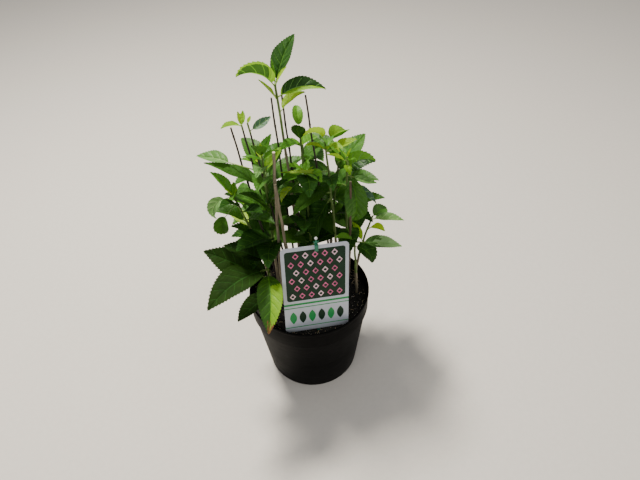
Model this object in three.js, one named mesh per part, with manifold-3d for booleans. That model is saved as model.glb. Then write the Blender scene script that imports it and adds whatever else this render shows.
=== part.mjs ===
import * as THREE from 'three';
import { mergeVertices } from 'three/addons/utils/BufferGeometryUtils.js';
import Module from 'manifold-3d';

const wasm = await Module();
wasm.setup();

// A young hydrangea in a black nursery pot with its plant label. Millimetres, +Z up.
// The origin is the middle of the pot's underside, and -Y is the side the label faces.

// Driving sizes
const GAP = 0.3;
const POT = {
  height: 165, rim: 95, base: 75.5, wall: 1.8, floor: 2.4,
  collar: 33, collarStep: 2.6, lip: 5, lipStep: 1, foot: 2, edge: 1, mouth: 0.4,
  holes: 8, holeRadius: 4.5, holeRing: 54, holeSides: 12, segments: 44,
};
const SOIL = { top: 148, flat: 84, dip: 3 };
const LABEL = {
  width: 95, height: 150, thick: 0.8, corner: 6, cornerSteps: 5,
  middle: [11, -73, 154], yaw: 10, tilt: 9, roll: 2.5,
};
const PIN = {
  width: 5, thick: 1.8, lipDrop: 9, offset: 2, foot: 5.2, sink: 0.5,
  post: 6, postWidth: 2.2, prong: 4.5, prongWidth: 1.4, prongTilt: 42, bead: 2.1,
};
const LIMB = { foot: 2.5, tip: 1.3, sides: 6, steps: 7 };
const TWIG = { sides: 3, steps: 6 };
const BLADE = {
  steps: 6, strides: 12, thickShare: 0.015, thinnest: 0.8, base: 0.72, tip: 1.12, fold: 31, foldEase: 0.15,
};
const STALK = { share: 0.12, foot: 0.017, tip: 0.012, thinnest: 0.65, sink: 0.1, stand: 0.5, last: 0.995 };
const FILL = {
  first: 0.06, offset: 0.3, turn: 90, headingSpread: 14, rise: [20, 50], riseSpread: 10,
  size: [1.05, 0.7], sizeSpread: 6, alongSpread: 0.02, droop: [50, 15], wide: [0.54, 0.05],
};
const ROOF = { back: 0.68, up: 0.73, most: 355 };
const CLEAR = 0.35;
const SEED = 4711;

// Every shoot: its foot on the soil, its tip, how early it leans, and where its bare limb ends.
// A seen leaf is: how far up the shoot, heading (0 right, 90 back, 180 left, 270 front), rise,
// blade length, droop, width as a share of the length, and where it has them roll and stalk share.
// fill is how many opposite pairs the rule adds, first at the heading turn, with blades that long.
const SHOOTS = {
  crest: {
    foot: [-10, 28], tip: [-25, 36, 493], lean: 0.25, bare: 0.8, girth: [2.4, 1.5],
    seen: [
      [1, 66, 45, 67, 30, 0.42, -6, 0.12], [0.99, 185, 60, 49, 90, 0.68, 48, 0.12],
      [1, 0, 60, 22, 10, 0.5, 0, 0.25], [0.95, 15, 25, 61, 55, 0.43, 18, 0.08],
      [0.89, 30, 40, 37, 40, 0.53, -4, 0.16], [1, 100, 55, 29, 0, 0.14, 0, 0.1],
      [0.94, 190, 60, 34, 10, 0.35, 0, 0.05],
    ],
  },
  left_inner_twig: {
    foot: [-42, 42], tip: [-72, 30, 443], lean: 0.5, bare: 0.97, girth: [1.8, 1.2],
    seen: [
      [1, 220, 30, 30, 30, 0.5, 0, 0.05], [1, 110, 40, 18, -10, 0.42, 0, 0.05],
      [1, 85, 30, 20, -10, 0.42, 0, 0.05],
    ],
  },
  left_front_twig: {
    foot: [-32, 31], tip: [-63, 22, 450], lean: 0.4, bare: 0.95, girth: [1.8, 1.2],
    seen: [[1, 75, 20, 12, 0, 0.45, 0, 0.05], [0.96, 35, 15, 29, 0, 0.45, 40, 0.15]],
  },
  west_low: {
    foot: [-58, -24], tip: [-53, -45, 270], lean: 0.3, bare: 0.25,
    seen: [
      [0.6, 170, 40, 96, 25, 0.52, -30, 0.1], [1, 155, 20, 64, 30, 0.55], [0.85, 225, 25, 100, 50, 0.5],
      [0.3, 215, 5, 60, 50, 0.56], [0.8, 270, 5, 88, 60, 0.42, 0, 0.1], [0.72, 25, 80, 54, 10, 0.5, 0, 0.1],
    ],
  },
  west_high: {
    foot: [-48, 6], tip: [-47, -5, 418], lean: 0.3, bare: 0.3, fill: 2, turn: 75, blade: 78,
    seen: [
      [1, 60, 35, 28, -5, 0.5], [1, 265, 55, 38, 10, 0.55], [0.97, 115, 20, 30, 20, 0.25],
      [0.9, 55, 35, 40, 30, 0.42], [0.92, 260, 50, 36, 70, 0.6], [0.82, 165, 25, 81, 15, 0.36, 4, 0.07],
      [0.68, 355, 75, 50, 40, 0.5], [0.62, 205, 75, 60, 45, 0.5], [0.45, 230, 45, 70, 50, 0.6],
      [0.5, 320, 60, 56, 40, 0.55], [0.9, 155, 5, 51, 15, 0.42, -16, 1.02],
    ],
  },
  west_middle: {
    foot: [-58, 8], tip: [-91, -10, 361], lean: 0.2, bare: 0.3, fill: 1, turn: 100, blade: 62,
    seen: [
      [1, 145, 50, 40, 30, 0.4], [1, 185, -10, 42, 110, 0.44, -46, 0.3], [0.9, 235, 55, 38, 50, 0.55],
      [0.94, 220, -30, 32, 110, 0.72, -44, 0.76], [0.85, 315, 40, 46, 30, 0.55],
      [0.7, 135, 20, 44, 30, 0.5], [0.55, 200, 75, 50, 50, 0.55],
    ],
  },
  east_low: {
    foot: [76, 0], tip: [71, 0, 262], lean: 0.4, bare: 0.4,
    seen: [
      [0.97, 0, -5, 58, 15, 0.39, 20, 0.25], [0.89, 335, 10, 41, 110, 0.72, 10, 0.08],
      [1, 200, 45, 32, 40, 0.55],
    ],
  },
  east_side: {
    foot: [76, 34], tip: [101, 34, 278], lean: 0.2, bare: 0.4,
    seen: [
      [0.99, 50, -5, 35, 10, 0.71, 16, 0.09], [0.95, 350, 20, 44, 40, 0.45],
      [0.8, 310, 45, 36, 40, 0.5], [0.6, 110, 15, 36, 0, 0.35],
    ],
  },
  east_high: {
    foot: [50, 18], tip: [33, 15, 422], lean: 0.4, bare: 0.4, fill: 0, turn: 0, blade: 0,
    seen: [
      [1, 195, 70, 30, 110, 0.72, 42, 0.3], [1, 45, 20, 33, 60, 0.67, 0, 0.3],
      [0.94, 5, 25, 31, 10, 0.6, 8, 0.37], [1, 35, 10, 36, 10, 0.25], [1, 275, 60, 28, 80, 0.7],
      [0.95, 310, 55, 34, 60, 0.45], [0.95, 210, 50, 32, 40, 0.35],
      [0.83, 180, 0, 55, -5, 0.18, 2, 0.15], [0.79, 275, 45, 44, 70, 0.5], [0.7, 220, 25, 64, 60, 0.44],
      [0.67, 205, -50, 74, 45, 0.66],
    ],
  },
  east_middle: {
    foot: [62, 42], tip: [63, 38, 382], lean: 0.4, bare: 0.3, fill: 1, turn: 80, blade: 66,
    seen: [
      [0.89, 355, 70, 46, 100, 0.6, 50, 0.09], [0.97, 175, 25, 24, 10, 0.42, 0, 0.2],
      [0.94, 275, 30, 24, 60, 0.5, 0, 0.2], [0.87, 355, -20, 34, -5, 0.39, 26, 0.3],
      [0.82, 340, -25, 40, 25, 0.44, 4, 0.33], [0.99, 280, -40, 81, 95, 0.41, 14, 0.35],
    ],
  },
  middle: {
    foot: [8, 16], tip: [5, 24, 366], lean: 0.4, bare: 0.3, fill: 2, turn: 20, blade: 62,
    seen: [
      [1, 275, 30, 52, 60, 0.6], [0.98, 215, -15, 26, 55, 0.52, -2, 0.91], [0.6, 265, 60, 74, 60, 0.6],
      [0.53, 190, 5, 18, 30, 0.62, 0, 0.3], [1, 215, 25, 40, 50, 0.5], [1, 300, 40, 42, 50, 0.5],
      [0.8, 215, 30, 46, 40, 0.5], [0.8, 310, 65, 50, 50, 0.5],
    ],
  },
  back_middle: {
    foot: [12, 46], tip: [0, 45, 426], lean: 0.4, bare: 0.45,
    seen: [
      [0.99, 95, 85, 31, 100, 0.51, 6, 0.23], [0.92, 250, 70, 31, 10, 0.69, 12, 0.24],
      [0.75, 200, 45, 28, 40, 0.5], [0.9, 235, 40, 42, 40, 0.55], [0.9, 60, 0, 42, 30, 0.5],
      [0.6, 205, 75, 50, 50, 0.5],
    ],
  },
  back_west: { foot: [-28, 52], tip: [-66, 84, 350], lean: 0.2, bare: 0.3, fill: 4, turn: 30, blade: 84 },
  back_far: { foot: [2, 62], tip: [2, 98, 366], lean: 0.2, bare: 0.3, fill: 4, turn: 40, blade: 80 },
  back_east: { foot: [36, 60], tip: [56, 88, 358], lean: 0.2, bare: 0.3, fill: 4, turn: 50, blade: 84 },
  far_west: { foot: [-64, 44], tip: [-92, 62, 290], lean: 0.2, bare: 0.35, fill: 3, turn: 20, blade: 66 },
  far_east: { foot: [60, 56], tip: [80, 74, 275], lean: 0.2, bare: 0.35, fill: 3, turn: 65, blade: 60 },
};

// Limbs with no leaves: thin dark twigs, and the stems that were pruned flat.
const BARE = {
  crest_left_twig: { foot: [-20, 38], tip: [-32, 44, 471], lean: 0.5, girth: [1.8, 1.2] },
  crest_right_twig: { foot: [-4, 42], tip: [-19, 50, 471], lean: 0.5, girth: [1.8, 1.2] },
  right_twig: { foot: [40, 42], tip: [11, 45, 472], lean: 0.5, girth: [1.8, 1.2] },
  left_outer_twig: { foot: [-52, 34], tip: [-85, 24, 443], lean: 0.5, girth: [1.8, 1.2] },
  pruned_stem_front: { foot: [-42, -17], tip: [-30, -24, 435], lean: 0.3, girth: [2.4, 2] },
  pruned_stem_short: { foot: [-24, -14], tip: [-32, -31, 392], lean: 0.4, girth: [2.4, 1.9] },
  pruned_stem_right: { foot: [64, 22], tip: [65, 2, 367], lean: 1.2, girth: [2.2, 1.5] },
};

// Swings that a leaf tries in turn, as heading and rise, until it clears its neighbours
const SWINGS = [
  [0, 0], [9, 0], [-9, 0], [0, 9], [0, -9], [18, 6], [-18, 6], [28, 0], [-28, 0], [0, 18], [0, -18],
];

const COLOURS = {
  pot: 0x1b1a1a, soil: 0x2a211a, label: 0xc9cdd2, pin: 0x1c6b4a, bead: 0xf2f2ee,
  limb: 0x5a4030, leaf: 0x2f6b22,
};

const UP = new THREE.Vector3(0, 0, 1);
const radians = THREE.MathUtils.degToRad;
const mix = THREE.MathUtils.lerp;

// Random draws
let draw = SEED;
function jitter(spread) {
  draw = (draw * 16807) % 2147483647;
  return spread * (2 * (draw / 2147483647) - 1);
}

// Closed bodies from meshes, and meshes from closed bodies
function solid(geometry) {
  const bare = geometry.clone();
  bare.deleteAttribute('normal');
  bare.deleteAttribute('uv');
  const merged = mergeVertices(bare, 1e-4);
  return new wasm.Manifold(new wasm.Mesh({
    numProp: 3,
    vertProperties: new Float32Array(merged.attributes.position.array),
    triVerts: new Uint32Array(merged.index.array),
  }));
}

function geometryOf(body) {
  const mesh = body.getMesh();
  const geometry = new THREE.BufferGeometry();
  geometry.setAttribute('position', new THREE.BufferAttribute(new Float32Array(mesh.vertProperties), 3));
  geometry.setIndex(new THREE.BufferAttribute(new Uint32Array(mesh.triVerts), 1));
  geometry.computeVertexNormals();
  return geometry;
}

function reshape(geometry, place) {
  const points = geometry.attributes.position;
  const point = new THREE.Vector3();
  for (let i = 0; i < points.count; i += 1) {
    point.fromBufferAttribute(points, i);
    const moved = place(point);
    points.setXYZ(i, moved.x, moved.y, moved.z);
  }
  return geometry;
}

// Pot
function outerRadius(z) {
  return mix(POT.base, POT.rim - POT.lipStep - POT.collarStep, z / (POT.height - POT.collar));
}

function innerRadius(z) {
  const ledge = POT.height - POT.collar;
  if (z >= ledge + POT.wall) return POT.rim - POT.lipStep - POT.wall;
  return outerRadius(z) - POT.wall;
}

function potGeometry() {
  const ledge = POT.height - POT.collar;
  const collar = POT.rim - POT.lipStep;
  const bore = collar - POT.wall;
  const profile = [
    [0, 0], [POT.base - POT.foot, 0], [POT.base, POT.foot], [outerRadius(ledge), ledge],
    [collar, ledge + POT.edge], [collar, POT.height - POT.lip], [POT.rim, POT.height - POT.lip + POT.edge],
    [POT.rim, POT.height - POT.edge], [POT.rim - POT.edge, POT.height], [bore + POT.mouth, POT.height],
    [bore, POT.height - POT.edge], [bore, ledge + POT.wall], [innerRadius(ledge), ledge - POT.wall],
    [innerRadius(POT.floor), POT.floor], [0, POT.floor],
  ];
  const lathe = new THREE.LatheGeometry(profile.map(([r, z]) => new THREE.Vector2(r, z)), POT.segments);
  let body = solid(lathe.rotateX(Math.PI / 2));
  for (let i = 0; i < POT.holes; i += 1) {
    const turn = (2 * Math.PI * (i + 0.5)) / POT.holes;
    const drill = new THREE.CylinderGeometry(POT.holeRadius, POT.holeRadius, 4 * POT.floor, POT.holeSides);
    drill.rotateX(Math.PI / 2).translate(POT.holeRing * Math.cos(turn), POT.holeRing * Math.sin(turn), 0);
    body = body.subtract(solid(drill));
  }
  return geometryOf(body);
}

// Potting soil, flat where the stems stand and a little lower at the wall
function soilGeometry() {
  const ledge = POT.height - POT.collar;
  const floor = POT.floor + GAP;
  const edge = SOIL.top - SOIL.dip;
  const profile = [
    [0, floor], [innerRadius(floor) - GAP, floor], [innerRadius(ledge - POT.wall) - GAP, ledge - POT.wall],
    [innerRadius(ledge + POT.wall) - 2 * GAP, ledge + POT.wall], [innerRadius(edge) - 2 * GAP, edge],
    [SOIL.flat, SOIL.top], [0, SOIL.top],
  ];
  const lathe = new THREE.LatheGeometry(profile.map(([r, z]) => new THREE.Vector2(r, z)), POT.segments);
  return geometryOf(solid(lathe.rotateX(Math.PI / 2)));
}

// Label card, its holder with a clip at the top, and the round head on the clip
function labelGeometry() {
  const { width, height, thick, corner, cornerSteps } = LABEL;
  const outline = new THREE.Shape();
  outline.moveTo(-width / 2 + corner, 0);
  outline.lineTo(width / 2 - corner, 0);
  outline.absarc(width / 2 - corner, corner, corner, -Math.PI / 2, 0);
  outline.absarc(width / 2 - corner, height - corner, corner, 0, Math.PI / 2);
  outline.absarc(-width / 2 + corner, height - corner, corner, Math.PI / 2, Math.PI);
  outline.absarc(-width / 2 + corner, corner, corner, Math.PI, 1.5 * Math.PI);
  const sizes = { depth: thick, bevelEnabled: false, curveSegments: cornerSteps };
  const card = new THREE.ExtrudeGeometry(outline, sizes);
  return geometryOf(solid(card.rotateX(Math.PI / 2)));
}

function pinGeometry() {
  const back = GAP + PIN.thick;
  const front = -LABEL.thick - GAP;
  const top = LABEL.height + GAP;
  const profile = [
    [back, -PIN.foot], [back, top + PIN.thick], [front - PIN.thick, top + PIN.thick],
    [front - PIN.thick, LABEL.height - PIN.lipDrop], [front, LABEL.height - PIN.lipDrop],
    [front, top], [GAP, top], [GAP, -PIN.foot],
  ];
  const outline = new THREE.Shape(profile.map(([y, z]) => new THREE.Vector2(y, z)));
  const hook = new THREE.ExtrudeGeometry(outline, { depth: PIN.width, bevelEnabled: false });
  hook.rotateY(Math.PI / 2).rotateX(Math.PI / 2).translate(PIN.offset - PIN.width / 2, 0, 0);
  const crown = top + PIN.thick;
  const post = new THREE.BoxGeometry(PIN.postWidth, PIN.postWidth, PIN.post + 2 * PIN.sink);
  post.translate(PIN.offset, 0, crown + PIN.post / 2 - PIN.sink);
  let body = solid(hook).add(solid(post));
  for (const side of [-1, 1]) {
    const prong = new THREE.BoxGeometry(PIN.prongWidth, PIN.prongWidth, PIN.prong + 2 * PIN.sink);
    prong.translate(0, 0, PIN.prong / 2);
    prong.rotateY(side * radians(PIN.prongTilt)).translate(PIN.offset, 0, crown + PIN.sink);
    body = body.add(solid(prong));
  }
  return geometryOf(body);
}

function beadGeometry() {
  const seat = LABEL.height + GAP + PIN.thick + PIN.post;
  const bead = new THREE.SphereGeometry(PIN.bead, 12, 8).rotateX(Math.PI / 2);
  return bead.translate(PIN.offset, 0, seat + GAP + PIN.bead);
}

// Limbs: a tapered cylinder laid along the shoot's curve, with its foot cut level
function shootCurve(shoot) {
  const foot = new THREE.Vector3(shoot.foot[0], shoot.foot[1], SOIL.top + GAP);
  const tip = new THREE.Vector3(...shoot.tip);
  const bend = new THREE.Vector3().lerpVectors(foot, tip, shoot.lean);
  bend.z = mix(foot.z, tip.z, 0.5);
  return new THREE.QuadraticBezierCurve3(foot, bend, tip);
}

function girthAt(shoot, along) {
  const [foot, tip] = shoot.girth ?? [LIMB.foot, LIMB.tip];
  return mix(foot, tip, along);
}

function frameAt(curve, along) {
  const aim = along === 0 ? UP.clone() : curve.getTangent(along);
  const side = new THREE.Vector3(0, 1, 0).cross(aim).normalize();
  return { aim, side, back: new THREE.Vector3().crossVectors(side, aim) };
}

function limbGeometry(shoot, from, to, { sides, steps }) {
  const curve = shootCurve(shoot);
  return reshape(new THREE.CylinderGeometry(1, 1, 1, sides, steps), (point) => {
    const along = mix(from, to, point.y + 0.5);
    const { side, back } = frameAt(curve, along);
    const girth = girthAt(shoot, along);
    const spot = curve.getPoint(along);
    return spot.addScaledVector(side, girth * point.x).addScaledVector(back, girth * point.z);
  });
}

// Leaves: a pointed lens that is folded along its midrib and droops towards its tip
function widthShare(along) {
  const { base, tip } = BLADE;
  const widest = base / (base + tip);
  const most = widest ** base * (1 - widest) ** tip;
  return (along ** base * (1 - along) ** tip) / most;
}

function leafFrame(leaf, along) {
  const heading = radians(leaf.heading);
  const slope = radians(leaf.rise - leaf.droop * along);
  const ahead = new THREE.Vector3(Math.cos(heading), Math.sin(heading), 0);
  const aim = ahead.clone().multiplyScalar(Math.cos(slope)).addScaledVector(UP, Math.sin(slope));
  const level = new THREE.Vector3(-Math.sin(heading), Math.cos(heading), 0);
  const lift = new THREE.Vector3().crossVectors(aim, level);
  const roll = radians(leaf.roll);
  const side = level.clone().multiplyScalar(Math.cos(roll)).addScaledVector(lift, Math.sin(roll));
  return { aim, side, lift: new THREE.Vector3().crossVectors(aim, side) };
}

function midribPoint(leaf, along) {
  const point = leaf.base.clone();
  for (let i = 0; i < BLADE.strides; i += 1) {
    const { aim } = leafFrame(leaf, (along * (i + 0.5)) / BLADE.strides);
    point.addScaledVector(aim, (leaf.length * along) / BLADE.strides);
  }
  return point;
}

function bladeSolid(leaf, spare) {
  const fold = radians(BLADE.fold - BLADE.foldEase * leaf.length);
  const thick = Math.max(BLADE.thinnest, BLADE.thickShare * leaf.length) / 2 + spare;
  const blade = reshape(new THREE.SphereGeometry(1, 4, BLADE.steps), (point) => {
    const along = Math.acos(THREE.MathUtils.clamp(point.y, -1, 1)) / Math.PI;
    const ring = Math.hypot(point.x, point.z);
    const middle = midribPoint(leaf, along);
    if (ring < 1e-6) return middle;
    const { side, lift } = leafFrame(leaf, along);
    const half = 0.5 * leaf.wide * leaf.length * widthShare(along) + spare;
    const across = (point.x / ring) * half;
    const up = Math.abs(across) * Math.sin(fold) + (point.z / ring) * thick;
    return middle.addScaledVector(side, across * Math.cos(fold)).addScaledVector(lift, up);
  });
  return solid(blade);
}

function stalkSolid(leaf, spare) {
  const from = leaf.root;
  const to = midribPoint(leaf, STALK.sink);
  const aim = to.clone().sub(from);
  const across = new THREE.Vector3(0, 0, 1).cross(aim).normalize();
  const over = new THREE.Vector3().crossVectors(across, aim).normalize();
  const foot = Math.max(STALK.thinnest, STALK.foot * leaf.length) + spare;
  const tip = Math.max(STALK.thinnest, STALK.tip * leaf.length) + spare;
  const stalk = reshape(new THREE.CylinderGeometry(1, 1, 1, 3, 1), (point) => {
    const along = point.y + 0.5;
    const girth = mix(foot, tip, along);
    const spot = from.clone().addScaledVector(aim, along);
    return spot.addScaledVector(across, girth * point.x).addScaledVector(over, girth * point.z);
  });
  return solid(stalk);
}

function makeLeaf(shoot, row, swing) {
  const [along, heading, rise, length, droop, wide, roll = 0, share = STALK.share] = row;
  const leaf = { length, droop, wide, roll, heading: heading + swing[0], rise: rise + swing[1] };
  leaf.root = shootCurve(shoot).getPoint(Math.min(along, STALK.last));
  leaf.base = leaf.root.clone().addScaledVector(leafFrame(leaf, 0).aim, share * length + STALK.stand);
  return leaf;
}

// The rule for leaves that the far side hides: opposite pairs, each turned a quarter from the last
function filledRows(shoot) {
  const rows = [];
  for (let pair = 0; pair < (shoot.fill ?? 0); pair += 1) {
    const along = mix(shoot.bare + FILL.first, 1, (pair + FILL.offset) / shoot.fill);
    for (const side of [0, 180]) {
      const heading = shoot.turn + FILL.turn * pair + side + jitter(FILL.headingSpread);
      const rise = mix(...FILL.rise, along) + jitter(FILL.riseSpread);
      const length = Math.round(shoot.blade * mix(...FILL.size, along) + jitter(FILL.sizeSpread));
      const root = along + jitter(FILL.alongSpread);
      const droop = FILL.droop[0] + jitter(FILL.droop[1]);
      const wide = FILL.wide[0] + jitter(FILL.wide[1]);
      rows.push([root, heading, rise, length, droop, wide]);
    }
  }
  return rows;
}

// Space already taken, and the test that keeps each mass clear of it
const taken = [];
function take(owner, body) {
  taken.push({ owner, body, box: body.boundingBox() });
}

function apart(a, b) {
  return [0, 1, 2].some((axis) => a.min[axis] > b.max[axis] || b.min[axis] > a.max[axis]);
}

function isClear(owner, body) {
  const box = body.boundingBox();
  return !taken.some((other) => other.owner !== owner && !apart(box, other.box)
    && !body.intersect(other.body).isEmpty());
}

// The crown's roof falls towards the back, and the leaves that the rule adds stay under it
function underRoof(leaf) {
  const tip = midribPoint(leaf, 1);
  return ROOF.back * tip.y + ROOF.up * tip.z < ROOF.most;
}

function growLeaf(name, shoot, row, roofed = false) {
  for (const swing of SWINGS) {
    const leaf = makeLeaf(shoot, row, swing);
    if (roofed && !underRoof(leaf)) continue;
    const fat = bladeSolid(leaf, CLEAR).add(stalkSolid(leaf, CLEAR));
    if (isClear(name, fat)) {
      const leafBody = bladeSolid(leaf, 0).add(stalkSolid(leaf, 0));
      take(name, leafBody);
      return leafBody;
    }
  }
  return null;
}

// Materials
function finish(colour, roughness) {
  return new THREE.MeshStandardMaterial({ color: colour, roughness, metalness: 0 });
}

function part(name, geometry, material) {
  const mesh = new THREE.Mesh(geometry, material);
  mesh.name = name;
  return mesh;
}

// Assembly
const group = new THREE.Group();
group.add(part('pot', potGeometry(), finish(COLOURS.pot, 0.45)));
group.add(part('potting_soil', soilGeometry(), finish(COLOURS.soil, 0.95)));

const label = new THREE.Group();
label.position.set(...LABEL.middle);
label.rotation.set(-radians(LABEL.tilt), radians(LABEL.roll), radians(LABEL.yaw), 'ZXY');
label.add(part('label_card', labelGeometry(), finish(COLOURS.label, 0.35)));
label.add(part('label_holder', pinGeometry(), finish(COLOURS.pin, 0.4)));
label.add(part('label_holder_head', beadGeometry(), finish(COLOURS.bead, 0.4)));
group.add(label);

label.updateMatrixWorld(true);
take('pot', solid(group.children[0].geometry));
for (const piece of label.children) {
  take('label', solid(piece.geometry.clone().applyMatrix4(piece.matrixWorld)));
}

for (const [name, limb] of Object.entries(BARE)) {
  const geometry = limbGeometry(limb, 0, 1, LIMB);
  take(name, solid(geometry));
  group.add(part(name, geometryOf(solid(geometry)), finish(COLOURS.limb, 0.85)));
}

const twigs = {};
for (const [name, shoot] of Object.entries(SHOOTS)) {
  const cut = GAP / shootCurve(shoot).getLength();
  const limb = solid(limbGeometry(shoot, 0, shoot.bare, LIMB));
  take(`${name}_limb`, limb);
  group.add(part(`${name}_stem`, geometryOf(limb), finish(COLOURS.limb, 0.85)));
  twigs[name] = solid(limbGeometry(shoot, shoot.bare + cut, 1, TWIG));
  take(name, twigs[name]);
}

const masses = {};
for (const [name, shoot] of Object.entries(SHOOTS)) {
  masses[name] = twigs[name];
  for (const row of shoot.seen ?? []) {
    const leaf = growLeaf(name, shoot, row);
    if (leaf) masses[name] = masses[name].add(leaf);
  }
}
for (const [name, shoot] of Object.entries(SHOOTS)) {
  for (const row of filledRows(shoot)) {
    const leaf = growLeaf(name, shoot, row, true);
    if (leaf) masses[name] = masses[name].add(leaf);
  }
  group.add(part(`${name}_foliage`, geometryOf(masses[name]), finish(COLOURS.leaf, 0.6)));
}

export default group;
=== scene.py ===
"""A young hydrangea in a black nursery pot with its plant label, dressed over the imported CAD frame."""

import math
from collections import namedtuple

import bpy
import numpy as np
from bpy.props import FloatProperty, FloatVectorProperty, IntProperty, PointerProperty
from mathutils import Matrix, Vector, noise
from mathutils.kdtree import KDTree


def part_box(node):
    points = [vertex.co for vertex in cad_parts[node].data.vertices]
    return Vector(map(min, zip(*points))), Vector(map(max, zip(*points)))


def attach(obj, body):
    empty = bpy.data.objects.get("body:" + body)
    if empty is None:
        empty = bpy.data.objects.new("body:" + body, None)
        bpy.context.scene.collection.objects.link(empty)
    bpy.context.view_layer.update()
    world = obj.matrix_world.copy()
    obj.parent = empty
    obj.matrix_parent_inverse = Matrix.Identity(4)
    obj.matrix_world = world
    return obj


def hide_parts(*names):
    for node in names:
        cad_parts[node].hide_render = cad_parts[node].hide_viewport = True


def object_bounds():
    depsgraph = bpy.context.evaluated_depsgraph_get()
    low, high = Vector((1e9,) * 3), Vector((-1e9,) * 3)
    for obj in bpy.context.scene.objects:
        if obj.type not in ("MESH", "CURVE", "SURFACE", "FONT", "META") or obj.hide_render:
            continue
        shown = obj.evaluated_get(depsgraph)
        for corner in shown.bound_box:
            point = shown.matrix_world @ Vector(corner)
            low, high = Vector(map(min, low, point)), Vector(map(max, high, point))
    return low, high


bl_info = {
    "name": "Potted hydrangea",
    "version": (1, 0, 0),
    "blender": (4, 5, 0),
    "location": "3D View > Sidebar > Hydrangea",
    "description": "Builds the looks of a young hydrangea shrub in its nursery pot",
    "category": "Add Mesh",
}

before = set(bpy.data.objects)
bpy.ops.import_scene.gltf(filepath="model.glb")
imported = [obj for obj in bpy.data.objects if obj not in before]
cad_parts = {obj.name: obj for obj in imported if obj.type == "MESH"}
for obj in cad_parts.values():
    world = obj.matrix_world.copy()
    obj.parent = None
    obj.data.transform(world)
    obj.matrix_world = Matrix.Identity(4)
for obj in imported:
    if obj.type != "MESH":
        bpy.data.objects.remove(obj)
CAD_BOX = [list(corner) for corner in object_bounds()]
POT_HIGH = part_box("pot")[1]
SOIL_LOW, SOIL_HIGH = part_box("potting_soil")
SOIL_TOP = SOIL_HIGH.z
MM = 0.001
UP = np.array((0.0, 0.0, 1.0))
COLLAR = 33 * MM

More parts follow.
